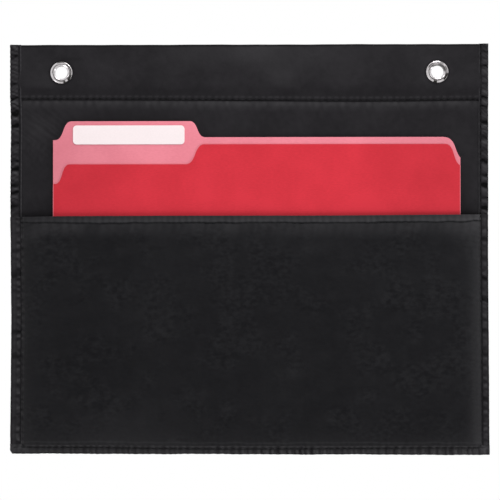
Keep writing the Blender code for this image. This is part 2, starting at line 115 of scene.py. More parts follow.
class Value:
    """A node's output, with operators that add Math nodes."""

    def __init__(self, paint: "Paint", node: bpy.types.Node, output: int | str = 0) -> None:
        """Keep one output of a node."""
        self.paint = paint
        self.node = node
        self.socket = node.outputs[output] if node.outputs else None

    def output(self, name: int | str) -> "Value":
        """Another output of the same node."""
        return Value(self.paint, self.node, name)

    def math(self, operation: str, *values: "Value | float") -> "Value":
        """A Math node on this and other values.

        Args:
            operation: the node's operation.
            values: all its inputs, in order.
        Returns:
            The node's result.
        """
        return self.paint.add("ShaderNodeMath", {"operation": operation}, dict(enumerate(values)))

    def __add__(self, other: "Value | float") -> "Value":
        """Sum."""
        return self.math("ADD", self, other)

    def __radd__(self, other: float) -> "Value":
        """Sum with a number on the left."""
        return self.math("ADD", other, self)

    def __sub__(self, other: "Value | float") -> "Value":
        """Difference."""
        return self.math("SUBTRACT", self, other)

    def __rsub__(self, other: float) -> "Value":
        """A number less this value."""
        return self.math("SUBTRACT", other, self)

    def __mul__(self, other: "Value | float") -> "Value":
        """Product."""
        return self.math("MULTIPLY", self, other)

    def __rmul__(self, other: float) -> "Value":
        """Product with a number on the left."""
        return self.math("MULTIPLY", other, self)

    def __truediv__(self, other: "Value | float") -> "Value":
        """Quotient."""
        return self.math("DIVIDE", self, other)

    def __pow__(self, other: float) -> "Value":
        """Power."""
        return self.math("POWER", self, other)

    def __abs__(self) -> "Value":
        """Distance from zero."""
        return self.math("ABSOLUTE", self)

    def sine(self) -> "Value":
        """Sine of an angle in radians."""
        return self.math("SINE", self)

    def between(self, low: float, high: float) -> "Value":
        """A smooth step.

        Args:
            low: where the step is 0.
            high: where it has reached 1, which may be below low.
        Returns:
            A value from 0 to 1.
        """
        share = (self - low) / (high - low)
        share.node.use_clamp = True
        return share * share * (3 - 2 * share)


class Paint:
    """A node tree, with the one method that adds nodes to it."""

    def __init__(self, tree: bpy.types.NodeTree) -> None:
        """Empty the tree."""
        self.tree = tree
        tree.nodes.clear()

    def add(self, kind: str, settings: dict | None = None, inputs: dict | None = None) -> Value:
        """Add a node.

        Args:
            kind: the node's type.
            settings: its properties, set first.
            inputs: values or links of its sockets, by name or number.
        Returns:
            Its first output.
        """
        node = self.tree.nodes.new(kind)
        for name, value in (settings or {}).items():
            setattr(node, name, value)
        for name, value in (inputs or {}).items():
            if isinstance(value, Value):
                self.tree.links.new(value.socket, node.inputs[name])
            else:
                node.inputs[name].default_value = value
        return Value(self, node)

    def place(self) -> Value:
        """Position on the object, in the frame's own metres."""
        return self.add("ShaderNodeTexCoord").output("Object")

    def axes(self, place: Value) -> tuple[Value, Value, Value]:
        """The three coordinates of a position."""
        split = self.add("ShaderNodeSeparateXYZ", inputs={0: place})
        return split, split.output(1), split.output(2)

    def noise(
        self, place: Value, size: float, detail: float = 2, stretch: Colour = (1, 1, 1)
    ) -> Value:
        """Smooth noise.

        Args:
            place: position to read it at.
            size: length of one patch in metres.
            detail: number of finer layers.
            stretch: factor on each axis, under 1 for patches that are long on that axis.
        Returns:
            A value around 0.5.
        """
        scaled = self.add("ShaderNodeVectorMath", {"operation": "MULTIPLY"}, {0: place, 1: stretch})
        inputs = {"Vector": scaled, "Scale": 1 / size, "Detail": detail}
        return self.add("ShaderNodeTexNoise", inputs=inputs)

    def mix(self, share: Value, first: "Colour | Value", second: "Colour | Value") -> Value:
        """A colour between two others."""
        full = [value if isinstance(value, Value) else (*value, 1) for value in (first, second)]
        settings = {"data_type": "RGBA"}
        inputs = {0: share, 6: full[0], 7: full[1]}
        return self.add("ShaderNodeMix", settings, inputs).output(2)

    def bump(
        self, height: Value, distance: float, strength: float = 1, under: Value | None = None
    ) -> Value:
        """A normal from a height of 0 to 1 that stands for a distance."""
        inputs = {"Height": height, "Distance": distance, "Strength": strength}
        return self.add("ShaderNodeBump", inputs=inputs | ({"Normal": under} if under else {}))

    def surface(self, **inputs: "Value | float | tuple") -> None:
        """The finished surface, from the Principled shader's sockets with _ for each space."""
        named = {name.replace("_", " "): value for name, value in inputs.items()}
        shader = self.add("ShaderNodeBsdfPrincipled", inputs=named)
        self.add("ShaderNodeOutputMaterial", inputs={"Surface": shader})


def material(name: str) -> tuple[Material, Paint]:
    """A new material and its empty tree."""
    made = bpy.data.materials.new(name)
    made.use_nodes = True
    return made, Paint(made.node_tree)


# Finishes


@dataclass(frozen=True)
class Finish:
    """A named material. Each kind of finish adds the nodes of its own surface."""

    name: str

    def cover(self, paint: Paint, place: Value) -> None:
        """Add the surface, given the position on the object."""
        raise NotImplementedError

    def make(self) -> Material:
        """The material."""
        made, paint = material(self.name)
        self.cover(paint, paint.place())
        return made


@dataclass(frozen=True)
class WovenNylon(Finish):
    """Black, closely woven nylon, with painted highlights on its crests and painted shade in its
    creases.
    """

    name: str = "woven_nylon"
    colour: Colour = (0.0146, 0.0137, 0.0154)
    rubbed_and_sheen: Colour = (0.0212, 0.0199, 0.0222)
    # Painted shade for the creases and a painted highlight for the crests.
    crease: Colour = (0.0015, 0.0015, 0.0017)
    painted_light: Colour = (0.055, 0.0535, 0.057)
    pitch: float = 0.62 * MM
    slub: float = 1.6 * MM
    crinkle: float = 4.5 * MM
    patch: float = 46 * MM
    weave_depth: float = 0.05 * MM
    fold_depth: float = 0.5 * MM
    grain: float = 0.38
    even: float = 0
    wear_and_sheen: tuple[float, float] = (0.34, 0.7)
    roughness: float = 0.48
    shine: float = 0.04
    sheen: float = 0.01

    def cover(self, paint: Paint, place: Value) -> None:
        """Add the weave, the crinkles, the patches of random wear, and the painted light and shade
        that the mesh carries.
        """
        x, _, z = paint.axes(place)
        rate = 2 * math.pi / self.pitch
        weave = (x * rate).sine() * (z * rate).sine() * 0.5 + 0.5
        patches = paint.noise(place, self.patch, 2)
        grain = paint.noise(place, self.crinkle, 4, (0.72, 1, 1) if self.even else (1, 1, 1))
        slub = paint.noise(place, self.slub, 1, (1, 1, 0.25))
        gathers = paint.noise(place, self.patch / 2, 1).between(0.42, 0.6)
        gathers = 1 - self.even + self.even * gathers
        wear_and_sheen = patches * (1 - self.grain) + 0.5 * self.grain
        wear_and_sheen = (wear_and_sheen + (grain - 0.5) * gathers * self.grain).between(*self.wear_and_sheen)
        folds = paint.bump(grain, self.fold_depth, 0.55)
        woven = paint.bump(weave * 0.7 + slub * 0.3, self.weave_depth, 0.5, folds)
        # The mesh's attribute carries painted light and shade: below 0 it mixes in the painted
        # shade, above 0 the painted highlight.
        painted_light = paint.add("ShaderNodeAttribute", {"attribute_name": "painted_light"}).output("Fac")
        cloth = paint.mix(wear_and_sheen, self.colour, self.rubbed_and_sheen)
        cloth = paint.mix(painted_light * -1, cloth, self.crease)
        paint.surface(
            Base_Color=paint.mix(painted_light, cloth, self.painted_light),
            Roughness=self.roughness + (grain - 0.5) * 0.25,
            Specular_IOR_Level=self.shine,
            Sheen_Weight=self.sheen,
            Sheen_Roughness=0.4,
            Normal=woven,
        )


@dataclass(frozen=True)
class SewingThread(Finish):
    """Black polyester thread, twisted."""

    name: str = "sewing_thread"
    colour: Colour = (0.008, 0.008, 0.009)
    pale: Colour = (0.02, 0.02, 0.021)
    pitch: float = 0.35 * MM
    depth: float = 0.06 * MM
    roughness: float = 0.5
    shine: float = 0.05

    def cover(self, paint: Paint, place: Value) -> None:
        """Add the twist."""
        x, _, z = paint.axes(place)
        twist = ((x + z) * (2 * math.pi / self.pitch)).sine() * 0.5 + 0.5
        paint.surface(
            Base_Color=paint.mix(twist, self.colour, self.pale),
            Roughness=self.roughness + twist * 0.1,
            Specular_IOR_Level=self.shine,
            Normal=paint.bump(twist, self.depth, 0.6),
        )


@dataclass(frozen=True)
class Arc:
    """A painted mark on an eyelet, part of a ring round its bore: a painted dark reflection, and a
    painted highlight where it is a glint.

    Its middle and half its length are angles in degrees; radius and width are in millimetres.
    """

    angle: float
    half: float
    radius: float
    width: float
    strength: float = 1.0


@dataclass(frozen=True)
class PolishedNickel(Finish):
    """Nickel plating on one eyelet: bright and handled, with painted dark reflections, a painted
    glint, and painted shade in its groove and at its rim.
    """

    centre: float
    marks: tuple[Arc, ...]
    glints: tuple[Arc, ...] = ()
    colour: Colour = (0.66, 0.63, 0.645)
    dull: Colour = (0.44, 0.42, 0.42)
    # Colour of the painted shade and the painted dark reflections.
    dark: Colour = (0.03, 0.028, 0.026)
    roughness: float = 0.12
    rim: float = 8.25 * MM
    painted_rim_shade_width: float = 0.35 * MM
    groove: float = 6.15 * MM
    painted_groove_shade_width: tuple[float, float] = (0.45 * MM, 0.1 * MM)
    scratch_depth: float = 0.02 * MM

    def arc(self, radius: Value, angle: Value, mark: Arc) -> Value:
        """A mark's share at each point, from 0 to 1."""
        turn = (angle - mark.angle + 540).math("MODULO", angle - mark.angle + 540, 360) - 180
        width = mark.width * MM
        across = abs(radius - mark.radius * MM).between(width, 0.5 * width)
        return across * abs(turn).between(mark.half, 0.7 * mark.half) * mark.strength

    def cover(self, paint: Paint, place: Value) -> None:
        """Add the scratches, the painted shade in the groove and at the rim, the painted dark
        reflections and the painted glints.
        """
        x, _, z = paint.axes(place)
        x = x - self.centre
        radius = (x * x + z * z) ** 0.5
        angle = z.math("ARCTAN2", z, x) * (180 / math.pi)
        scratches = paint.noise(place, 1.2 * MM, 5)
        cloud = paint.noise(place, 4 * MM, 2)
        # Painted shade in the groove between roll and washer and round the washer's rim.
        painted_shade_and_reflection = abs(radius - self.groove).between(*self.painted_groove_shade_width) * (0.45 + cloud * 0.6)
        rim = radius.between(self.rim - self.painted_rim_shade_width, self.rim) * 0.5
        painted_shade_and_reflection = painted_shade_and_reflection.math("MAXIMUM", painted_shade_and_reflection, rim)
        # Painted dark reflections, in arcs.
        for mark in self.marks:
            rough = radius + (scratches - 0.5) * 0.5 * MM
            painted_shade_and_reflection = painted_shade_and_reflection.math("MAXIMUM", painted_shade_and_reflection, self.arc(rough, angle, mark))
        # Painted glints: bright spots taken out of the painted dark.
        for glint in self.glints:
            painted_shade_and_reflection = painted_shade_and_reflection * (1 - self.arc(radius, angle, glint))
        handled = (cloud * 0.6 + scratches * 0.4).between(0.35, 0.75)
        metal = paint.mix(handled, self.colour, self.dull)
        paint.surface(
            Base_Color=paint.mix(painted_shade_and_reflection, metal, self.dark),
            Metallic=1.0,
            Roughness=self.roughness + scratches * 0.12,
            Normal=paint.bump(scratches, self.scratch_depth, 0.3),
        )


@dataclass(frozen=True)
class FolderCard(Finish):
    """Pulp card coloured through, with fibres, a faint cloudiness, pale edges that are part cut
    edge and part painted highlight, painted light towards the lip, a painted shadow just above the
    lip and painted shade towards the sides.
    """

    colour: Colour
    deep: Colour
    pale_edge_and_sheen: Colour
    edges: tuple[float, float] = (-1, 1)
    wear_and_sheen: tuple[float, float] = (0.6 * MM, 0.2 * MM)
    # Where the painted shadow of the pocket's lip lies, and how dark it is.
    painted_lip_shadow_band: tuple[float, float] = (-102.2 * MM, -104.9 * MM)
    painted_lip_shadow_end: tuple[float, float] = (7 * MM, 1 * MM)
    painted_lip_shadow: float = 0.16
    painted_lip_shadow_tilt: float = 0.0085
    painted_lip_shadow_drop: float = 0.35 * MM
    # Painted shade towards the card's sides.
    painted_side_shade: tuple[float, float] = (60 * MM, 145 * MM)
    fade: float = 0.13
    # Painted light: where the card brightens towards the lip.
    bright: tuple[float, float] = (-72 * MM, -97 * MM)
    cloud: float = 22 * MM
    fibre: float = 0.9 * MM
    fibre_depth: float = 0.03 * MM
    roughness: float = 0.62
    shine: float = 0.12

    def cover(self, paint: Paint, place: Value) -> None:
        """Add the tone with its painted light towards the lip, the pale edges, the painted shadow
        band above the lip and the painted shade on the sides.
        """
        cloud = paint.noise(place, self.cloud, 3)
        fibres = paint.noise(place, self.fibre, 4, (0.35, 1, 1))
        x, _, z = paint.axes(place)
        # The tone rises towards the lip: painted light.
        tone = (cloud * 0.55 + fibres * 0.45).between(0.3, 0.72) + z.between(*self.bright) * 0.4
        left, right = self.edges
        rim = x.between(*(left + wear_and_sheen for wear_and_sheen in self.wear_and_sheen))
        rim = rim + x.between(*(right - wear_and_sheen for wear_and_sheen in self.wear_and_sheen))
        card = paint.mix(tone, self.deep, self.colour)
        # A band of painted shadow just above the pocket's lip, which follows the lip's slope.
        line = z - x * self.painted_lip_shadow_tilt + self.painted_lip_shadow_drop
        painted_lip_shadow_band = line.between(*self.painted_lip_shadow_band)
        painted_lip_shadow_band = painted_lip_shadow_band * line.between(*(self.painted_lip_shadow_band[1] - end for end in self.painted_lip_shadow_end))
        # Painted shadow of the lip and painted shade towards the sides, mixed towards black.
        painted_card_shade = painted_lip_shadow_band * self.painted_lip_shadow + abs(x).between(*self.painted_side_shade) * self.fade
        card = paint.mix(painted_card_shade, card, (0, 0, 0))
        paint.surface(
            Base_Color=paint.mix(rim, card, self.pale_edge_and_sheen),
            Roughness=self.roughness + (fibres - 0.5) * 0.2,
            Specular_IOR_Level=self.shine,
            Normal=paint.bump(fibres, self.fibre_depth, 0.5),
        )


@dataclass(frozen=True)
class LabelPaper(Finish):
    """Smooth white paper with a very faint grain."""

    name: str = "label_paper"
    colour: Colour = (0.95, 0.84, 0.85)
    pale: Colour = (0.99, 0.88, 0.89)
    grain: float = 0.7 * MM
    grain_depth: float = 0.01 * MM

    def cover(self, paint: Paint, place: Value) -> None:
        """Add the grain."""
        grain = paint.noise(place, self.grain, 4)
        paint.surface(
            Base_Color=paint.mix(grain.between(0.3, 0.8), self.colour, self.pale),
            Roughness=0.55 + grain * 0.1,
            Specular_IOR_Level=0.2,
            Normal=paint.bump(grain, self.grain_depth, 0.4),
        )


# Unevenness of cloth, the same on every run


class Waves:
    """Broad, soft unevenness over a surface: plane waves with seeded directions."""

    def __init__(self, seed: int, length: float, count: int = 8) -> None:
        """Choose the waves.

        Args:
            seed: of the random choice.
            length: typical wavelength.
            count: number of waves.
        """
        chance = np.random.default_rng(seed)
        turn = chance.uniform(0, 2 * math.pi, count)
        rate = 2 * math.pi / (length * chance.uniform(0.7, 1.5, count))
        self.across, self.up = rate * np.cos(turn), rate * np.sin(turn)
        self.phase = chance.uniform(0, 2 * math.pi, count)

    def at(self, x: Array, z: Array) -> Array:
        """Height from about -1 to 1 at each point."""
        waves = [np.sin(a * x + u * z + p) for a, u, p in zip(self.across, self.up, self.phase)]
        return sum(waves) / math.sqrt(len(waves)) / 1.4


class Profile:
    """Offsets at given places, all in millimetres, with straight lines between them."""

    def __init__(self, places: Sequence[float], offsets: Sequence[float]) -> None:
        """Keep both in metres."""
        self.places, self.offsets = np.array(places) * MM, np.array(offsets) * MM

    def at(self, along: Array) -> Array:
        """The offset at each place."""
        return np.interp(along, self.places, self.offsets)


class Creases:
    """Single grooves across a hem, at given places."""

    def __init__(self, *places: tuple[float, float, float]) -> None:
        """Keep each groove's place along the hem in mm, its depth and its width in mm."""
        self.places = places

    def at(self, along: Array) -> Array:
        """Depth at each place along the hem."""
        grooves = self.places
        return sum(depth * fade(along - at * MM, wide * MM) for at, depth, wide in grooves)


class Spots:
    """Soft spots of painted light and painted shade on a surface."""

    def __init__(self, *places: tuple[float, float, float, float, float]) -> None:
        """Keep each spot's middle, its reach across and up, in millimetres, and its strength."""
        self.places = places

    def at(self, x: Array, z: Array) -> Array:
        """Strength at each point."""
        return sum(
            strength * fade(x - across * MM, wide * MM) * fade(z - up * MM, high * MM)
            for across, up, wide, high, strength in self.places
        )


class Puckers:
    """Crests and valleys of uneven spacing along a line, as a row of stitches draws them up."""

    def __init__(self, seed: int, spacing: float, reach: float = 0.4, play: float = 0.5) -> None:
        """Choose the crests.

        Args:
            seed: of the random choice.
            spacing: mean distance from a crest to the next valley.
            reach: how far each way from zero the line is covered.
            play: how much the distances differ, as a share.
        """
        chance = np.random.default_rng(seed)
        count = int(2 * reach / spacing)
        self.knots = -reach + np.cumsum(spacing * chance.uniform(1 - play, 1 + play, count))
        self.heights = chance.uniform(0.3, 1, count) * np.where(np.arange(count) % 2, 1, -1)

    def at(self, along: Array) -> Array:
        """Height from -1 to 1 at each place along the line."""
        after = np.clip(np.searchsorted(self.knots, along), 1, len(self.knots) - 1)
        start, end = self.knots[after - 1], self.knots[after]
        share = np.clip((along - start) / (end - start), 0, 1)
        share = share * share * (3 - 2 * share)
        return self.heights[after - 1] * (1 - share) + self.heights[after] * share


def fade(distance: Array, length: float) -> Array:
    """1 on a line and falling off on both its sides."""
    return np.exp(-((distance / length) ** 2))


def step(value: Array, low: float, high: float) -> Array:
    """0 before low and 1 after high, smooth between them."""
    share = np.clip((value - low) / (high - low), 0, 1)
    return share * share * (3 - 2 * share)


def before(value: Array, low: float, high: float) -> Array:
    """1 before low and 0 after high, smooth between them."""
    return 1 - step(value, low, high)


def decay(distance: Array, length: float) -> Array:
    """1 up to a line and falling off beyond it."""
    return np.exp(-np.clip(distance, 0, None) / length)


def stacked(x: Array, y: Array, z: Array) -> Array:
    """Points from their coordinates."""
    return np.stack([x, y, z], axis=-1)


def spaced(low: float, high: float, gap: float) -> Array:
    """Evenly spaced numbers from low to high, about a gap apart."""
    return np.linspace(low, high, max(2, int(round(abs(high - low) / gap)) + 1))


def joined(*runs: Array) -> Array:
    """Runs of numbers end to end, with the shared ends once."""
    return np.concatenate([runs[0], *[run[1:] for run in runs[1:]]])


# Meshes


def mesh_object(name: str, vertices: Array, faces: Sequence, finish: Material) -> Piece:
    """A smooth mesh in the scene.

    Args:
        name: the piece's name.
        vertices: an array of points.
        faces: lists of vertex numbers.
        finish: its material.
    Returns:
        The object.
    """
    mesh = bpy.data.meshes.new(name)
    mesh.from_pydata(vertices.reshape(-1, 3).tolist(), [], faces)
    mesh.validate()
    mesh.shade_smooth()
    mesh.set_sharp_from_angle(angle=SHARP)
    mesh.materials.append(finish)
    made = bpy.data.objects.new(name, mesh)
    bpy.context.scene.collection.objects.link(made)
    return made


def grid_faces(rows: int, columns: int, keep: Array | None = None) -> list:
    """The faces of a grid of points.

    Args:
        rows: number of rows of points.
        columns: number of points in a row.
        keep: which faces to make, or None for all.
    Returns:
        Lists of four vertex numbers.
    """
    first = np.arange(rows * columns).reshape(rows, columns)
    corners = (first[:-1, :-1], first[:-1, 1:], first[1:, 1:], first[1:, :-1])
    faces = np.stack(corners, axis=-1)
    return (faces.reshape(-1, 4) if keep is None else faces[keep]).tolist()


def thickened(points: Array, faces: list, thickness: float) -> tuple[Array, list, Array]:
    """A closed skin round a grid of points.

    Args:
        points: rows of points on the middle of the sheet.
        faces: the grid's faces.
        thickness: distance from its front to its back.
    Returns:
        The skin's vertices, its faces, and the number of the grid's point under each vertex.
    """
    normal = np.cross(np.gradient(points, axis=1), np.gradient(points, axis=0))
    normal /= np.linalg.norm(normal, axis=-1, keepdims=True)
    front, back = (points + side * normal * thickness / 2 for side in (1, -1))
    count = points.shape[0] * points.shape[1]
    vertices = np.concatenate([front.reshape(-1, 3), back.reshape(-1, 3)])
    quads = np.array(faces)
    start, end = quads.ravel(), np.roll(quads, -1, axis=1).ravel()
    rim = ~np.isin(start * count + end, end * count + start)
    edge_start, edge_end = start[rim], end[rim]
    rims = np.stack([edge_start, edge_start + count, edge_end + count, edge_end], axis=-1)
    skin = np.concatenate([quads[:, ::-1], quads + count, rims])
    used, renumbered = np.unique(skin, return_inverse=True)
    return vertices[used], renumbered.reshape(skin.shape).tolist(), used % count


def ring_faces(rows: int, columns: int, closed: bool = False) -> list:
    """The faces of rows of points that each close to a ring.

    Args:
        rows: number of rings.
        columns: number of points in a ring.
        closed: whether the last ring joins the first.
    Returns:
        Lists of four vertex numbers.
    """
    row, column = np.divmod(np.array(grid_faces(rows + closed, columns + 1)), columns + 1)
    return (row % rows * columns + column % columns).tolist()


def lathe(
    name: str, profile: Sequence[tuple[float, float]], x: float, turns: int, finish: Material
) -> Piece:
    """A closed ring turned round an axis that runs from the wall to the front.

    Args:
        name: the piece's name.
        profile: closed outline as (radius, height over the wall).
        x: place of the axis.
        turns: number of steps round.
        finish: its material.
    Returns:
        The object.
    """
    radius, height = np.array(profile).T
    turn = np.linspace(0, 2 * math.pi, turns, endpoint=False)[:, None]
    rings = stacked(x + radius * np.cos(turn), -height + 0 * turn, radius * np.sin(turn))
    return mesh_object(name, rings, ring_faces(turns, len(profile), True), finish)


@dataclass(frozen=True)
class Plies:
    """How layers of cloth lie in front of one another, counted from the wall."""

    cloth: float = 0.5 * MM
    gap: float = 0.3 * MM
    flange: float = 0.6 * MM

    def middle(self, number: float) -> float:
        """Y of the middle of a ply."""
        return -(self.flange + self.gap + self.cloth / 2 + number * (self.cloth + self.gap))

    def fold(
        self, first: float, last: Array, lead: Array, width: Array, counts: tuple[int, int, int]
    ) -> tuple[Array, Array]:
        """A margin's section, from the first ply round the outer edge and in on the last.

        Args:
            first: y of the first ply.
            last: y of the last ply, one number for each section.
            lead: inset at which it starts.
            width: inset at which it ends.
            counts: number of steps on the first ply, round the bend and on the last ply.
        Returns:
            Inset and y of each point, one section to a row.
        """
        last, lead, width = (np.atleast_1d(a)[:, None] for a in (last, lead, width))
        radius = (first - last) / 2
        centre = radius + self.cloth / 2
        start, end = (np.linspace(0, 1, n + 1) for n in (counts[0], counts[2]))
        turn = np.linspace(0, math.pi, counts[1] + 1)[1:-1]
        bend = centre - radius * np.sin(turn)
        inset = [lead + (centre - lead) * start, bend, centre + (width - centre) * end]
        middle = (first + last) / 2
        y = [first + 0 * radius * start, middle + radius * np.cos(turn), last + 0 * end]
        return np.concatenate(inset, axis=1), np.concatenate(y, axis=1)


def sewn(row: Piece, node: str | None = None) -> Piece:
    """A row of thread, in place of a node of the frame, which it hides."""
    if node:
        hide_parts(node)
    return row


@dataclass
class Sewing:
    """Makes rows of single stitches."""

    finish: Material
    pitch: float = 4.8 * MM
    length: float = 4.0 * MM
    radius: float = 0.25 * MM
    jitter: float = 0.06
    sink: float = 0.1 * MM
    rings: int = 7
    sides: int = 6

    def row(
        self, name: str, start: Array, end: Array, seed: int, lift: Callable[[Array], Array]
    ) -> Piece:
        """A row of stitches.

        Args:
            name: the piece's name.
            start: where the row begins.
            end: where it ends.
            seed: of the stitches' small differences.
            lift: function that moves the stitches' centres to the cloth's surface.
        Returns:
            The object.
        """
        start, end = np.array(start, float), np.array(end, float)
        reach = end - start
        count = max(2, int(np.linalg.norm(reach) / self.pitch))
        chance = np.random.default_rng(seed)
        share = (np.arange(count) + 0.5 + chance.uniform(-self.jitter, self.jitter, count)) / count
        centres = lift(start + share[:, None] * reach)
        return self.stitches(name, centres, np.gradient(centres, axis=0), chance)

    def stitches(
        self, name: str, centres: Array, along: Array, chance: np.random.Generator
    ) -> Piece:
        """Single stitches at given places.

        Args:
            name: the piece's name.
            centres: middle of each stitch, on the cloth's surface.
            along: its direction.
            chance: source of small differences.
        Returns:
            The object.
        """
        along = along / np.linalg.norm(along, axis=1)[:, None]
        beside = np.cross(along, FRONT)
        half = self.length / 2 * chance.uniform(0.88, 1.08, len(centres))
        skew = chance.uniform(-0.12, 0.12, len(centres))
        share = np.linspace(-1, 1, self.rings)
        turn = np.linspace(0, 2 * math.pi, self.sides, endpoint=False)
        place = (
            centres[:, None]
            + (half[:, None] * share)[..., None] * along[:, None]
            + (half[:, None] * share * skew[:, None])[..., None] * beside[:, None]
            + (self.radius * (0.4 - 1.5 * share**4))[:, None] * FRONT
        )
        thick = self.radius * np.sqrt(1 - 0.75 * share**4)
        around = thick[:, None, None] * (np.cos(turn)[:, None] * FRONT + 0 * share[:, None, None])
        sideways = (thick[:, None] * np.sin(turn))[..., None]
        vertices = place[:, :, None] + around + sideways * beside[:, None, None]
        count = self.rings * self.sides
        numbers = list(range(count))
        one = ring_faces(self.rings, self.sides)
        one += [numbers[self.sides - 1 :: -1], numbers[-self.sides :]]
        starts = range(0, count * len(centres), count)
        faces = [[start + i for i in face] for start in starts for face in one]
        return mesh_object(name, vertices, faces, self.finish)


@dataclass(frozen=True)
class Hem:
    """One side hem: its sizes and its painted light and shade.

    width and stitch are insets from the outer edge, lean is that edge's offset at each height and
    corner how far its foot turns to the right. glow is how much painted highlight the hem gets as a
    whole, groove how much painted shade its stitch line gets. Its twist has a spacing, rope, and a
    slope, slant, and shows a little outside.
    """

    seed: int
    width: float
    stitch: float
    glow: float
    groove: float
    rope: float
    slant: float
    outside: float
    corner: float
    lean: Profile
    creases: Creases


LEFT_HEM = Hem(
    seed=41,
    width=8.3 * MM,
    stitch=6.6 * MM,
    glow=0.13,
    groove=0.6,
    rope=1.9 * MM,
    slant=0.45,
    outside=0.12 * MM,
    corner=1.6 * MM,
    lean=Profile(
        (-280, -263, -252, -205, -181, -158, -123, -99, -64, -40, -32, -17, 20),
        (-0.1, -0.2, -0.05, 0.35, 0.6, 0.4, 0.2, -0.3, -0.1, 0.15, 0, -0.4, -0.4),
    ),
    creases=Creases(
        (11.0, 0.4, 1.3), (-9.0, 0.5, 1.2), (-19.4, 0.9, 1.2), (-30.7, 1.3, 2.2),
        (-39.4, 1.0, 1.4), (-52.9, 0.7, 1.2), (-65.4, 0.6, 0.9), (-71.4, 1.1, 1.5),
        (-83.2, 0.8, 1.3), (-88.3, 0.8, 1.0), (-98.0, 0.5, 3.0),
    ),
)
RIGHT_HEM = Hem(
    seed=43,
    width=7.0 * MM,
    stitch=5.75 * MM,
    glow=0.18,
    groove=1.0,
    rope=3.2 * MM,
    slant=0.1,
    outside=0.05 * MM,
    corner=0,
    lean=Profile(
        (-280, -228, -193, -170, -134, -110, -99, 20),
        (0.45, 0.2, -0.03, -0.27, -0.5, -0.55, -0.22, -0.28),
    ),
    creases=Creases(
        (14.0, 0.4, 1.2), (3.5, 0.4, 1.0), (-9.0, 0.5, 1.2), (-19.4, 0.9, 1.0),
        (-25.7, 0.6, 1.1), (-37.5, 1.0, 1.4), (-48.7, 0.6, 1.3), (-57.7, 0.6, 1.1),
        (-65.6, 1.0, 1.7), (-75.7, 0.7, 1.3), (-83.5, 1.0, 1.9), (-92.5, 0.5, 1.2),
        (-99.8, 1.0, 1.6),
    ),
)


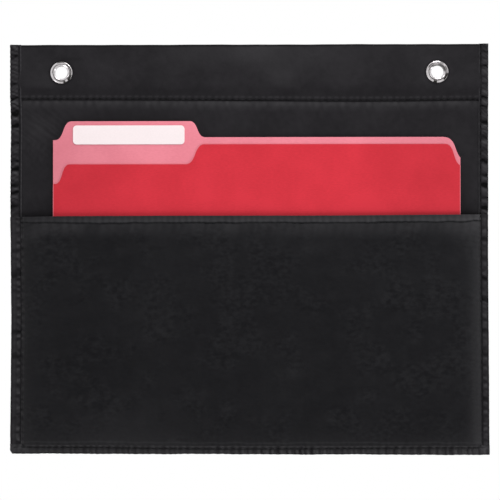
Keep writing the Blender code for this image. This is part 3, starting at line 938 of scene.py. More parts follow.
@dataclass
class Panel:
    """The hanging panel: rear ply, header band and side hems, one length of nylon."""

    plies: Plies
    nylon: Material
    sewing: Sewing
    width: float = 350 * MM
    top: float = 20.5 * MM
    bottom: float = -279.5 * MM
    header: float = 41 * MM
    header_stitch: float = 1.0 * MM
    hem_step: float = 6 * MM
    pocket_lip: float = -105 * MM
    rear_overlap: float = 4 * MM
    foot_join: float = 1.75 * MM
    head_join: float = 0.95 * MM
    head_reach: float = 6 * MM
    cloth: float = 0.42 * MM
    row: float = 0.42 * MM
    column: float = 0.8 * MM
    pucker: float = 2.4 * MM
    pucker_play: float = 0.15
    press_reach: float = 11 * MM
    stitch_margin: float = 2 * MM
    stitch_end: float = -104 * MM
    hem_sink: float = 0.12 * MM
    hole: float = 6.4 * MM
    eyelets: tuple[float, float] = (-EYELET_X, EYELET_X)
    # Reach of the painted shade round the eyelets.
    eyelet_rim: tuple[float, float] = (8.3 * MM, 10 * MM)
    left_hem: Hem = LEFT_HEM
    right_hem: Hem = RIGHT_HEM
    # Spots of painted light and painted shade on the header and on the rear ply.
    header_spots: Spots = Spots(
        (1, 16, 55, 11, 0.33), (23, -3, 11, 9, 0.18), (-152, -9, 14, 9, 0.15),
        (-133, 10, 9, 1.4, -0.3), (-93, 2, 12, 8, 0.08), (-102, 17, 14, 7, -0.08),
        (-40, -3, 9, 7, -0.08),
    )
    back_spots: Spots = Spots(
        (-156, -39, 9, 9, 0.14), (157, -86, 7, 22, -0.22), (-8, -22, 95, 5, 0.07)
    )
    sag: Profile = Profile(
        (-175, -100, -40, 0, 60, 110, 150, 175), (1.0, 0.9, 0.5, 0.2, -0.3, -0.35, 0.2, 0.4)
    )
    slack: Waves = field(default_factory=lambda: Waves(11, 70 * MM))
    edge: Waves = field(default_factory=lambda: Waves(5, 34 * MM, 5))

    def hem(self, side: Side) -> Hem:
        """One side's hem."""
        return self.left_hem if side is Side.LEFT else self.right_hem

    def edge_x(self, side: Side, z: Array) -> Array:
        """The panel's outer edge, which wanders and leans a little."""
        hem = self.hem(side)
        wander = 0.08 * MM * self.edge.at(0.1 * side.value + 0 * z, z)
        corner = hem.corner * step(self.bottom + 3 * MM - z, 0, 3 * MM)
        return -side.value * self.width / 2 + wander + hem.lean.at(z) + corner

    def inset_x(self, side: Side, inset: Array, z: Array) -> Array:
        """X at a distance inside an outer edge."""
        return self.edge_x(side, z) + side.value * inset

    def across(self, share: Array, overlap: float, z: Array) -> Array:
        """X at a share of the way between the outer edges, each taken in by an overlap."""
        start = self.inset_x(Side.LEFT, overlap, z)
        return start + (self.inset_x(Side.RIGHT, overlap, z) - start) * share

    def hem_y(self, z: Array) -> Array:
        """Y of a side hem's front ply, which climbs over the header band's lower edge."""
        climb = step(z, self.header_edge - self.hem_step, self.header_edge)
        return self.plies.middle(1) + (self.plies.middle(2) - self.plies.middle(1)) * climb

    @property
    def header_edge(self) -> float:
        """Z of the header band's lower edge."""
        return self.top - self.header

    @property
    def seam(self) -> float:
        """Z of the header band's stitches."""
        return self.header_edge + self.header_stitch

    def sheet(
        self,
        name: str,
        points: Array,
        painted_light: Array,
        flat: tuple[float, float],
        nodes: Sequence[str],
        keep: Array | None = None,
        finish: Material | None = None,
        rear: float = 1,
    ) -> Piece:
        """A sheet of cloth from a grid of points, with its thickness.

        Args:
            name: the piece's name.
            points: rows of points on its middle.
            painted_light: its painted light and shade at each point, from -1, painted shade in a
                deep crease, to 1, a painted highlight on a ridge.
            flat: size that it was cut to; not used.
            nodes: the frame's nodes that it stands for.
            keep: which faces of the grid to make.
            finish: its material, where it isn't the panel's.
            rear: share of the painted light and shade that its rear face shows.
        Returns:
            The object.
        """
        rows, columns = points.shape[:2]
        vertices, faces, under = thickened(points, grid_faces(rows, columns, keep), self.cloth)
        made = mesh_object(name, vertices, faces, finish or self.nylon)
        # The painted light and shade is kept as a point attribute that the nylon's colour reads.
        marks = made.data.attributes.new("painted_light", "FLOAT", "POINT")
        behind = vertices[:, 1] > points.reshape(-1, 3)[under, 1]
        shown = np.clip(painted_light, -1, 1).ravel()[under] * np.where(behind, rear, 1)
        marks.data.foreach_set("value", shown)
        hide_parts(*nodes)
        return made

    def holes(self, points: Array) -> Array:
        """Which faces of a grid lie outside the eyelets' holes."""
        middle = (points[:-1, :-1] + points[1:, 1:]) / 2
        keep = np.ones(middle.shape[:2], bool)
        for x in self.eyelets:
            keep &= np.hypot(middle[..., 0] - x, middle[..., 2]) > self.hole
        return keep

    def press(self, x: Array, z: Array) -> Array:
        """How far round the eyelets the cloth is drawn in."""
        return sum(fade(np.hypot(x - at, z), self.press_reach) for at in self.eyelets)

    def rims(self, x: Array, z: Array) -> Array:
        """Where the cloth gets painted shade, close round the eyelets."""
        return sum(before(np.hypot(x - at, z), *self.eyelet_rim) for at in self.eyelets)

    def back(self) -> Piece:
        """The rear ply, with the puckers that hang below the header's stitches."""
        low, high = self.bottom + self.foot_join, self.top - self.head_join
        rows = joined(
            spaced(low, -112 * MM, 4 * MM),
            spaced(-112 * MM, -50 * MM, 2.5 * MM),
            spaced(-50 * MM, self.header_edge, 0.8 * MM),
            spaced(self.header_edge, high, 3 * MM),
        )
        across = spaced(0, 1, self.column / self.width)
        z = rows[:, None] + 0 * across
        x = self.across(across, self.rear_overlap, z)
        below = self.header_edge + self.sag.at(x) - z
        left, right = (self.inset_x(side, self.hem(side).width, z) for side in Side)
        free = step(np.minimum(x - left, right - x), 0, 9 * MM)
        short = Puckers(21, self.pucker, play=self.pucker_play).at(x + 0.25 * below)
        long = Puckers(22, 3.4 * MM).at(x - 0.3 * below)
        drawn = step(below, 0.2 * MM, 1.2 * MM) * decay(below, 4 * MM)
        hang = step(below, 0.2 * MM, 2 * MM) * decay(below, 15 * MM)
        swell = step(below, 0, 4.5 * MM) * before(below, 5 * MM, 24 * MM)
        swell = swell * (0.85 + 0.3 * self.slack.at(2 * x, 0 * x))
        lift = free * MM * (0.85 * swell + 0.09 * drawn * short + 0.14 * hang * long)
        pull = fade(x - left - 14 * MM, 22 * MM) * fade(z + 48 * MM, 22 * MM)
        drag = Puckers(23, 2.4 * MM).at(z + 0.75 * x + 1.2 * MM * self.edge.at(x, 3 * z))
        lift = lift + 0.14 * MM * pull * drag * step(x - left, 0, 3 * MM)
        lift = lift + 0.3 * MM * free * self.slack.at(x, z) * step(below, 0, 20 * MM)
        y = self.plies.middle(0) - np.clip(lift, -0.3 * MM, None)
        # Painted light and shade: a painted highlight in the band below the header's seam, a
        # painted shadow right under its edge and painted highlights on the dragged folds.
        painted_light = step(below, 0.5 * MM, 1.7 * MM) * before(below, 2.5 * MM, 9 * MM)
        broad = Puckers(24, 5 * MM).at(x + 0.6 * below)
        gathers = 0.19 + 0.2 * short * decay(below, self.pucker) + 0.08 * long + 0.08 * broad
        painted_light = painted_light * gathers - 0.55 * fade(below - 0.1 * MM, 0.5 * MM)
        painted_light = painted_light + pull * (0.06 + 0.1 * drag) + self.back_spots.at(x, z)
        # Painted shade above the pocket's lip, where the lip stands in front of the cloth, kept off
        # the rear face.
        over = z - self.pocket_lip
        mouth = before(over, -1 * MM, 7 * MM) ** 2 * step(over, -60 * MM, -10 * MM)
        shade = [-90 * MM, 90 * MM]
        painted_light = painted_light - np.interp(x, shade, [0.42, 0.6]) * mouth
        around = before(over, 0, 18 * MM) * step(over, -60 * MM, -10 * MM)
        painted_light = painted_light - np.interp(x, shade, [0.1, 0.25]) * around
        points = stacked(x, y, z)
        flat, keep = (self.width, high - low), self.holes(points)
        return self.sheet("back_cloth", points, painted_light, flat, ["back_panel"], keep, rear=0)

    def header_band(self) -> Piece:
        """The top margin, turned over the upper edge to the front."""
        across = spaced(0, 1, self.column / self.width)[:, None]
        rear, front_y = self.plies.middle(0), self.plies.middle(1)
        inset, y = self.plies.fold(rear, front_y, self.head_join, self.header, (1, 8, 60))
        inset, y = inset + 0 * across, y + 0 * across
        z = self.top - inset
        x = self.across(across, self.rear_overlap, z)
        front = step(inset, 1 * MM, 3 * MM)
        seam = z - self.seam
        z = z + self.sag.at(x) * before(seam, 0, 16 * MM)
        short = Puckers(31, self.pucker, play=self.pucker_play).at(x)
        lift = MM * (0.8 * step(seam, 0, 12 * MM) * before(seam, 12 * MM, 34 * MM) + 0.1)
        lift = lift + 0.1 * MM * fade(seam - 1 * MM, 2 * MM) * short
        lift = lift - 0.2 * MM * before(seam, -0.3 * MM, 0.6 * MM)
        lift = lift + 0.14 * MM * self.slack.at(1.6 * x, 1.6 * z) - 0.12 * MM * self.press(x, z)
        lift = lift + 0.1 * MM * fade(inset - 3 * MM, 2 * MM) * Puckers(32, 7 * MM).at(x)
        y = y - np.clip(lift, -0.14 * MM, None) * front * np.where(inset > 1 * MM, 1, 0)
        z = z + 0.12 * MM * self.edge.at(x, 0 * x) * before(inset, 0, 12 * MM)
        # Painted light and shade: painted highlights in broad patches and above the stitches,
        # painted shade on the band's lower part, in its stitch groove, round the eyelets and along
        # its top fold.
        cloud = self.slack.at(1.5 * x + 20 * MM, 2 * z)
        painted_light = 0.07 * cloud + self.header_spots.at(x, z)
        painted_light = painted_light - 0.22 * (0.8 + 0.5 * cloud) * before(seam, 4 * MM, 11 * MM)
        rubbed_and_sheen = 0.1 + 0.34 * np.clip(1.4 * short + 0.7, 0, 1)
        painted_light = painted_light + fade(seam - 1.3 * MM, 0.8 * MM) * rubbed_and_sheen
        painted_light = painted_light - (0.26 - 0.4 * short) * before(seam, -0.4 * MM, 0.4 * MM)
        painted_light = painted_light - 0.5 * self.rims(x, z) - 0.75 * before(inset, 0.5 * MM, 2.2 * MM)
        points = stacked(x, y, z)
        flat = (self.width, self.header + 1 * MM)
        return self.sheet("header_cloth", points, painted_light, flat, ["header_band"], self.holes(points))

    def side_hem(self, side: Side) -> Piece:
        """A side margin, turned over to the front, stitched down and roped by its stitches."""
        hem, rear = self.hem(side), self.plies.middle(0)
        width, stitch, seed = hem.width, hem.stitch, hem.seed
        rows = spaced(self.bottom + self.foot_join, self.top, self.row)
        last = self.hem_y(rows)
        inset, y = self.plies.fold(rear, last, self.rear_overlap, width, (4, 8, 22))
        z = rows[:, None] + 0 * inset
        bent = z - 0.12 * inset + 0.45 * MM * Waves(seed, 6 * MM, 6).at(inset, z)
        rope = Puckers(seed, hem.rope).at(bent + hem.slant * inset)
        fine = Puckers(seed + 1, 1.5 * MM).at(bent - 0.5 * inset)
        strength = 1 + 0.35 * Waves(seed, 40 * MM, 4).at(0 * z, z)
        front = y < (rear + last[:, None]) / 2
        hump = np.sin(np.clip(inset / stitch, 0, 1) * math.pi) ** 0.7
        uneven = np.clip(0.9 + 0.35 * Waves(seed + 2, 7 * MM, 6).at(inset, z), 0, 1.3)
        creases, glow = hem.creases.at(bent) * uneven, hem.creases.at(bent + 2.6 * MM)
        open_hem = step(z, self.pocket_lip + 0.3 * MM, self.pocket_lip + 3 * MM)
        twist = 0.26 * strength * (0.8 * rope + 0.5 * fine)
        lift = hump * open_hem * (0.8 - 1.5 * creases + twist) * MM
        lift = lift - 0.22 * MM * fade(inset - stitch, 0.55 * MM)
        inner = step(inset, stitch, stitch + 0.6 * MM)
        lift = lift + 0.1 * MM * open_hem * inner * (1 + 0.6 * fine)
        lift = lift - 0.4 * MM * step(inset, width - 0.75 * MM, width)
        y = y - np.where(front, np.clip(lift, -0.24 * MM, None), 0)
        outside = hem.outside * rope * before(inset, 0, 1.4 * MM)
        x = self.inset_x(side, inset, z) - side.value * outside
        # Painted light and shade: painted highlights over the hem, below each crease and along its
        # folded inner edge; painted shade in its creases, its stitch groove and along its outer
        # edge.
        painted_light = (hem.glow + strength * (0.42 * rope + 0.26 * fine) + 0.5 * glow) * hump
        painted_light = painted_light - 1.8 * creases * before(inset, stitch - 1.2 * MM, stitch)
        painted_light = painted_light - hem.groove * fade(inset - stitch, 0.5 * MM) * (1 + 0.4 * fine)
        painted_light = painted_light + 0.6 * step(inset, width - 0.9 * MM, width - 0.2 * MM) * (1 + 0.4 * rope)
        painted_light = painted_light - 0.5 * before(inset, 0, 0.8 * MM)
        near_top = np.clip(1 - (self.top - z) / self.head_reach, 0, 1)
        z = z - np.where(front, 0, self.head_join) * near_top
        points = stacked(x, y, z)
        flat = (width + self.rear_overlap + 0.5 * MM, self.top - self.bottom)
        name, nodes = f"{side.label}_hem_cloth", [f"{side.label}_side_hem"]
        return self.sheet(name, points, painted_light, flat, nodes)

    def sew(self) -> list[Piece]:
        """The panel's rows of stitches."""
        surface = self.plies.cloth / 2

        def on_header(centres: Array) -> Array:
            """Follow the header's seam as it sags."""
            return centres + UP * self.sag.at(centres[:, 0])[:, None]

        header_y = self.plies.middle(1) - surface + self.sewing.sink
        xs = [self.inset_x(side, self.stitch_margin, self.seam) for side in Side]
        ends = [(x, header_y, self.seam) for x in xs]
        rows = [sewn(self.sewing.row("header_stitches", *ends, 50, on_header), "header_stitching")]
        low, high = (0, 0, self.stitch_end), (0, 0, self.top - self.stitch_margin)
        for side in Side:

            def on_hem(centres: Array) -> Array:
                """Follow the hem along the outer edge."""
                z = centres[:, 2]
                x = self.inset_x(side, self.hem(side).stitch, z)
                return stacked(x, self.hem_y(z) - surface + self.hem_sink, z)

            name = f"{side.label}_hem_stitch"
            row = self.sewing.row(f"{name}es", low, high, 51 + side.value, on_hem)
            rows.append(sewn(row, f"{name}ing"))
        return rows

    def build(self) -> list[Piece]:
        """All pieces, riding on the panel's body."""
        made = [self.back(), self.header_band(), *(self.side_hem(side) for side in Side)]
        made += self.sew()
        for piece in made:
            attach(piece, Body.PANEL.value)
        return made


@dataclass(frozen=True)
class Seam:
    """One side seam of the pocket: its sizes and its painted light and shade.

    Its stitches run a little outside its inner edge. Its bead is the raised strip between two
    insets, plain the painted light on the rest, wear_and_sheen the strength of the bead's painted
    highlight, dark the painted shade inside the bead, rim the width of the painted shade along
    the outer edge. give is not used.
    """

    seed: int
    width: float
    stitch: float
    bead: tuple[float, float]
    plain: float
    wear_and_sheen: float
    dark: float
    rim: float
    give: float


@dataclass
class Pocket:
    """The pocket: bottom margin and floor, side seams, and the front in two halves."""

    panel: Panel
    nylon: Material
    height: float = 174.5 * MM
    bow: float = 1.5 * MM
    left_seam: Seam = Seam(
        71, 8.8 * MM, 1.0 * MM, (4.5 * MM, 7.2 * MM), 0.14, 1, 0.3, 0.8 * MM, -147 * MM
    )
    right_seam: Seam = Seam(
        73, 5.7 * MM, 0.5 * MM, (1.6 * MM, 4.7 * MM), 0.05, 0.6, 0.1, 2.2 * MM, 158 * MM
    )
    seam_turn: float = 5.7 * MM
    margin: float = 5.1 * MM
    margin_stitch: float = 0.9 * MM
    side_curve: float = 12 * MM
    floor_curve: float = 3.6 * MM
    floor_share: float = 0.75
    floor_reach: float = 30 * MM
    front_y: float = -11.05 * MM
    lip_hem: float = 7 * MM
    lip_stitch: float = 5.3 * MM
    lip_sink: float = 0.3 * MM
    bottom_length: float = 14 * MM
    bottom_column: float = 0.66 * MM
    column: float = 0.62 * MM
    foot_sag: Profile = Profile(
        (-175, -120, -60, -20, 60, 110, 175), (0.4, 0.35, 0, -0.1, 0.1, 0.4, 0.55)
    )
    # Spots of painted light on the pocket's front.
    spots: Spots = Spots(
        (-95, -268, 45, 22, 0.12), (20, -120, 60, 12, 0.06), (157, -114, 12, 11, 0.14),
        (-158, -118, 9, 6, 0.16),
    )
    slack: Waves = field(default_factory=lambda: Waves(61, 55 * MM))
    crumple: Waves = field(default_factory=lambda: Waves(62, 16 * MM, 12))

    def __post_init__(self) -> None:
        """Work out the shared places."""
        plies, panel = self.panel.plies, self.panel
        clear = plies.gap + plies.cloth / 2
        self.seam_y = plies.middle(3)
        self.left = -panel.width / 2 + self.left_seam.width + clear
        self.right = panel.width / 2 - self.right_seam.width - clear
        self.floor = panel.bottom + self.margin + clear
        self.lip = panel.bottom + self.height
        self.lip_bend = self.lip - 0.65 * MM
        self.foot = self.floor + self.floor_curve * (1 - math.sqrt(1 - self.floor_share**2))

    def seam(self, side: Side) -> Seam:
        """One side's seam."""
        return self.left_seam if side is Side.LEFT else self.right_seam

    def seam_line(self, side: Side) -> float:
        """Distance of a side seam's stitches from the outer edge."""
        return self.seam(side).width - self.seam(side).stitch

    def start(self, side: Side) -> float:
        """X at which the front leaves a side seam."""
        return self.left if side is Side.LEFT else self.right

    def lip_shift(self, x: Array) -> Array:
        """How far the lip stands over its nominal height: it rises to the right."""
        places = [self.left, -135 * MM, -60 * MM, 60 * MM, self.right]
        return np.interp(x, places, [-0.8 * MM, -0.3 * MM, 0, 0.1 * MM, 0.95 * MM])

    def lip_line(self, x: Array) -> Array:
        """How far below the lip its stitches run, less near the ends."""
        line = self.lip_stitch + 0.35 * MM * self.slack.at(3 * x, 0 * x)
        line = line - 0.7 * MM * before(self.right - x, 4 * MM, 12 * MM)
        return line - 0.75 * MM * before(x - self.left, 8 * MM, 40 * MM)

    def rise(self, distance: Array, length: float) -> Array:
        """Quarter of an ellipse: 0 at a seam and 1 from a length on."""
        return np.sqrt(1 - (1 - np.clip(distance / length, 0, 1)) ** 2)

    def sides(self, x: Array) -> Array:
        """Share of the pocket's depth that its curved sides leave it."""
        left, right = x - self.left, self.right - x
        return self.rise(left, self.side_curve) * self.rise(right, self.side_curve)

    def depth(self, x: Array, up: Array) -> Array:
        """How far the front stands before the seams, at a height over the floor."""
        rising = 0.42 * self.rise(up, self.floor_curve) + 0.58 * self.rise(up, self.floor_reach)
        return (self.seam_y - self.front_y) * self.sides(x) * rising

    def smooth_y(self, x: Array, z: Array) -> Array:
        """The middle of the front's cloth without its unevenness, with the lip leaning back."""
        across = np.clip((x - self.left) / (self.right - self.left), 0, 1)
        up = np.clip((z - self.floor) / (self.lip - self.floor), 0, 1)
        drop = self.lip - z
        lean = 1.15 * before(drop, -1.5 * MM, 6 * MM) + 0.6 * before(drop, 4 * MM, 17 * MM)
        lean = lean * MM * step(np.minimum(x - self.left, self.right - x), 0, 6 * MM)
        bow = self.bow * np.sin(math.pi * across) * up
        return self.seam_y - self.depth(x, z - self.floor) - bow + lean

    def relief(self, x: Array, z: Array) -> tuple[Array, Array]:
        """The unevenness of the front's cloth.

        Args:
            x: place of each point across the pocket.
            z: its height.
        Returns:
            How far the point stands out from the smooth shape, and its painted light and shade.
        """
        from_side = np.minimum(x - self.left, self.right - x)
        from_foot, from_lip = z - self.foot, self.lip - z
        free = step(from_side, 0, 25 * MM) * step(from_foot, 0, 18 * MM)
        crumple = self.crumple.at(x, z)
        lift = free * (0.28 * MM * self.slack.at(x, z) + 0.07 * MM * crumple)
        stitch = from_lip - self.lip_line(x)
        ribs = Puckers(63, 2.45 * MM, play=0.2).at(x + 0.1 * z)
        drawn = Puckers(64, 3.1 * MM).at(x - 0.2 * z)
        inside = step(from_side, 0, 4 * MM)
        lift = lift + inside * 0.08 * MM * ribs * decay(stitch, 2.5 * MM)
        drop = step(from_lip, 0, 5 * MM) * decay(stitch, 14 * MM)
        lift = lift + inside * 0.07 * MM * drawn * drop
        lift = lift - 0.3 * MM * fade(stitch, 0.6 * MM)
        gathered = Puckers(65, 2.3 * MM).at(x + 0.3 * z) * decay(from_foot, 3.5 * MM)
        lift = lift + inside * 0.12 * MM * gathered * step(from_foot, 0, 1.5 * MM)
        seamed = Puckers(66, 1.8 * MM).at(z + 0.3 * np.abs(x)) * decay(from_side, 5 * MM)
        lift = lift + 0.14 * MM * seamed * step(from_side, 0, 3 * MM) * step(from_foot, 0, 4 * MM)
        # Painted light and shade: a painted highlight on the lip's strip and under its stitches,
        # painted shade along the stitches.
        places = [self.left, -145 * MM, -100 * MM, 60 * MM, self.right - 8 * MM, self.right]
        bright = np.interp(x, places, [0.22, 0.32, 0.46, 0.52, 0.55, 0.72])
        painted_light = bright * before(stitch, -1 * MM, -0.2 * MM) * (0.75 + 0.19 * ribs)
        painted_light = painted_light * (0.9 + 0.65 * step(from_lip, 1 * MM, 4.5 * MM))
        soft = 0.22 + 0.1 * self.slack.at(2.2 * x, 0 * x) + 0.06 * drawn
        soft = soft * step(x, -170 * MM, -140 * MM) + 0.12 * step(x, 120 * MM, 160 * MM)
        painted_light = painted_light + soft * step(stitch, 0.4 * MM, 1.2 * MM) * before(stitch, 1 * MM, 13 * MM)
        painted_light = painted_light - 0.15 * fade(stitch, 0.6 * MM) * (1 - 0.9 * ribs)
        # More painted highlight near the foot, on a strand over it, on the seams' puckers and at
        # the listed spots.
        painted_light = painted_light + decay(from_foot, 6 * MM) * (0.22 + 0.1 * gathered)
        braid = 0.5 * MM * self.slack.at(3 * x, 0 * x)
        strand = 0.2 * fade(from_foot - 2.3 * MM - braid, 0.55 * MM)
        painted_light = painted_light + strand + 0.05 * fade(from_foot - 0.6 * MM + braid, 0.5 * MM)
        painted_light = painted_light + 0.1 * seamed + 0.03 * free * crumple + self.spots.at(x, z)
        # Along the seams: a painted highlight on the left bead and near both seams, painted shade
        # at the right seam's edge.
        bead = Puckers(67, 2.6 * MM).at(z)
        beside = 1 - step(from_side, 0.8 * MM, 1.9 * MM)
        dull = -0.1 * before(from_side, -0.5 * MM, 0.3 * MM)
        painted_light = painted_light + np.where(x < 0, beside * (0.3 + 0.45 * bead), dull)
        painted_light = painted_light + np.where(x < 0, 0.22, 0.34) * decay(from_side - 1.5 * MM, 4.5 * MM)
        return lift, painted_light

    def front(self, side: Side) -> Piece:
        """Half of the front, from its side stitches to the middle, with its lip turned in."""
        panel, plies = self.panel, self.panel.plies
        centre = (self.left + self.right) / 2
        edge = side.value * (self.seam_line(side) - panel.width / 2)
        seam = self.start(side)
        columns = joined(
            spaced(edge, seam, 0.45 * MM),
            seam + side.value * self.side_curve * (1 - np.cos(np.linspace(0, math.pi / 2, 24))),
            spaced(seam + side.value * self.side_curve, centre, self.column),
        )
        low, high, close = 6 * MM, 22 * MM, 8 * MM
        heights = joined(
            self.foot + low * (1 - np.cos(np.linspace(0, math.pi / 2, 14))),
            spaced(self.foot + low, self.lip - high, 1.5 * MM),
            spaced(self.lip - high, self.lip - close, 0.9 * MM),
            spaced(self.lip - close, self.lip_bend, 0.4 * MM),
        )
        x, z = columns + 0 * heights[:, None], heights[:, None] + 0 * columns
        lift, painted_light = self.relief(x, z)
        y = self.smooth_y(x, z) - lift
        y = y + 0.14 * MM * before(np.abs(x - edge), 0, 2 * MM)
        radius = (plies.cloth + plies.gap) / 2
        turn = np.linspace(0, math.pi, 9)[1:, None]
        over_y = y[-1] + radius * (1 - np.cos(turn))
        over_z = self.lip_bend + radius * np.sin(turn) + 0 * columns
        down = np.linspace(0, self.lip_hem, 7)[1:, None]
        under_y = over_y[-1] + 0 * down
        under_z = self.lip_bend - down + 0 * columns
        x = np.concatenate([x, columns + 0 * turn, columns + 0 * down])
        y, z = np.concatenate([y, over_y, under_y]), np.concatenate([z, over_z, under_z])
        painted_light = np.concatenate([painted_light, painted_light[-1] + 0 * over_y, 0 * under_y])
        share = np.clip((z - self.foot) / (self.lip - self.foot), 0, 1)
        shift = self.lip_shift(x) * share**4
        wander = panel.edge_x(side, z) + side.value * panel.width / 2
        x = x + wander * before(np.abs(x - edge), 0, 30 * MM)
        shift = shift + self.foot_sag.at(x) * (1 - share) ** 6
        points = stacked(x, y, z + shift)
        if side is Side.RIGHT:
            points, painted_light = points[:, ::-1], painted_light[:, ::-1]
        label = side.label
        flat = (abs(centre - edge) + 3 * MM, self.height + self.lip_hem)
        nodes = [f"pocket_{label}_side", "pocket_panel", "pocket_lip_hem"]
        made = panel.sheet(f"pocket_{label}_cloth", points, painted_light, flat, nodes, finish=self.nylon)
        self.bend(made, side)
        return made

    def bend(self, piece: Piece, side: Side) -> None:
        """Bake a piece of the front's place into its mesh."""
        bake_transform(piece)

    def side_seam(self, side: Side) -> Piece:
        """The pocket's side margin, turned under itself and sewn on the hem."""
        panel, plies = self.panel, self.panel.plies
        seam, width = self.seam(side), self.seam_line(side)
        rows = spaced(self.foot, self.lip, panel.row)
        inset, y = plies.fold(plies.middle(2), self.seam_y, self.seam_turn, width, (8, 7, 20))
        z, inset = rows[:, None] + 0 * inset, inset + 0 * rows[:, None]
        y = y + 0 * z
        seed = seam.seed
        bent = z + 0.4 * MM * Waves(seed, 6 * MM, 6).at(inset, z)
        rope = Puckers(seed, 3.3 * MM).at(bent + 0.3 * inset)
        fine = Puckers(seed + 1, 2.0 * MM).at(bent - 0.3 * inset)
        notch = np.clip(Puckers(seed + 2, 7 * MM, 0.7).at(bent - 0.2 * inset) - 0.5, 0, 1)
        notch = notch * step(z - self.foot, 6 * MM, 12 * MM)
        front = y < (plies.middle(2) + self.seam_y) / 2
        start, end = seam.bead
        bead = step(inset, start - 0.4 * MM, start + 0.6 * MM)
        bead = bead * before(inset, end - 0.5 * MM, end + 0.3 * MM)
        hump = np.sin(np.clip(inset / width, 0, 1) * math.pi) ** 0.6
        outer = step(inset, 0.2 * MM, 1.2 * MM)
        lift = 0.25 + 0.35 * bead + (0.06 + 0.15 * bead) * (0.8 * rope + 0.5 * fine) - 0.5 * notch
        lift = MM * outer * lift * (1 - 0.8 * step(inset, end, width))
        y = y - np.where(front, np.clip(lift, -0.16 * MM, None), 0)
        # Painted light and shade: a painted highlight on the bead and the rest, painted shade at
        # the notches, inside the bead and along the outer edge.
        painted_light = hump * (seam.plain + 0.12 * rope + 0.06 * fine) - 1.6 * notch * outer
        painted_light = painted_light + bead * seam.wear_and_sheen * (0.14 + 0.46 * rope + 0.22 * fine)
        painted_light = painted_light + seam.wear_and_sheen * 0.16 * fade(inset - 2.6 * MM, 0.5 * MM)
        painted_light = painted_light - seam.dark * step(inset, end, end + 0.5 * MM) * (1 + 0.4 * rope)
        painted_light = painted_light - 0.45 * before(inset, 0, seam.rim)
        outside = 0.05 * MM * rope * before(inset, 0, 1.2 * MM)
        x = panel.inset_x(side, inset, z) - side.value * outside
        share = np.clip((z - self.foot) / (self.lip - self.foot), 0, 1)
        z = z + self.lip_shift(x) * share**4 + self.foot_sag.at(x) * (1 - share) ** 6
        flat = (width + self.seam_turn + 0.1 * MM, self.height)
        name, nodes = f"{side.label}_seam_cloth", [f"pocket_{side.label}_seam"]
        return panel.sheet(name, stacked(x, y, z), painted_light, flat, nodes)

    def bottom(self) -> Piece:
        """The cloth's turn at the lower edge, its sewn margin, and the floor that rises from it."""
        panel, plies = self.panel, self.panel.plies
        low = panel.bottom
        across = spaced(0, 1, self.bottom_column / panel.width)[:, None]
        rear, steps = plies.middle(0), (1, 9, 13)
        inset, y = plies.fold(rear, self.seam_y, panel.foot_join, self.margin, steps)
        share = np.sin(np.linspace(0, math.asin(self.floor_share), 9))[None]
        rising = self.floor + self.floor_curve * (1 - np.sqrt(1 - share**2))
        inset, y = inset + 0 * across, y + 0 * across
        z = np.concatenate([low + inset, rising + 0 * across], axis=1)
        x = panel.across(across, 0, z)
        depth = self.depth(x[:, inset.shape[1]:], rising - self.floor)
        y = np.concatenate([y, self.seam_y - depth], axis=1)
        up = z - low
        stitch = self.margin - self.margin_stitch + self.foot_sag.at(x)
        rope, fine = Puckers(81, 2.6 * MM), Puckers(82, 1.5 * MM)
        hump = np.sin(np.clip(up / stitch, 0, 1) * math.pi) ** 0.6
        front = y < (rear + self.seam_y) / 2
        strength = np.interp(x, np.array([-175, -60, 20, 175]) * MM, [0.4, 0.6, 1.1, 1.0])
        strength = strength * (1 + 0.35 * Waves(83, 60 * MM, 4).at(x, 0 * x))
        rope, fine, hem = rope.at(x + 0.3 * up), fine.at(x), rope.at(x)
        lift = 0.5 * hump + 0.3 * strength * hump * (0.7 * rope + 0.5 * fine)
        lift = lift * MM - 0.08 * MM * fade(up - stitch, 0.5 * MM)
        y = y - np.where(front, np.clip(lift, -0.16 * MM, None), 0)
        z = z + 0.12 * MM * hem * before(up, 0, 2 * MM)
        z = z + self.foot_sag.at(x) * step(up, 1.5 * MM, 4 * MM)
        z = z + 0.2 * MM * panel.edge.at(x, 0 * x) * before(up, 1 * MM, 5 * MM)
        # Painted light and shade: painted highlights on the margin's hump and on the band by its
        # stitches, painted shade along the fold at the lower edge.
        painted_light = hump * (0.5 + strength * (0.45 * rope + 0.24 * fine))
        painted_light = painted_light + (0.58 + 0.5 * hem) * step(up, stitch - 1.9 * MM, self.margin - 0.3 * MM)
        painted_light = painted_light - 0.35 * before(up, 0.3 * MM, 1.5 * MM)
        points, painted_light = stacked(x, y, z)[::-1], painted_light[::-1]
        flat, nodes = (panel.width, self.bottom_length), ["pocket_bottom_fold", "pocket_floor"]
        return panel.sheet("bottom_cloth", points, painted_light, flat, nodes)

    def sew(self) -> list[Piece]:
        """The pocket's rows of stitches, the lip's in two halves."""
        panel, sewing = self.panel, self.panel.sewing
        surface = self.panel.plies.cloth / 2
        low = panel.bottom + self.margin - self.margin_stitch
        y = self.seam_y - surface + sewing.sink
        ends = [(panel.inset_x(side, panel.stitch_margin, low), y, low) for side in Side]

        def on_foot(centres: Array) -> Array:
            """Follow the pocket's foot as it sags."""
            return centres + 2 * UP * self.foot_sag.at(centres[:, 0])[:, None]

        made = [sewn(sewing.row("bottom_stitches", *ends, 91, on_foot), "bottom_stitching")]
        for side in Side:

            def on_seam(centres: Array) -> Array:
                """Follow the seam along the outer edge."""
                z = centres[:, 2]
                return stacked(panel.inset_x(side, self.seam_line(side), z), y + 0 * z, z)

            name = f"{side.label}_seam_stitch"
            ends = (0, 0, self.foot), (0, 0, self.lip - 1 * MM)
            made.append(sewn(sewing.row(f"{name}es", *ends, 93, on_seam), f"{name}ing"))
        for piece in made:
            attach(piece, Body.PANEL.value)
        for side in Side:

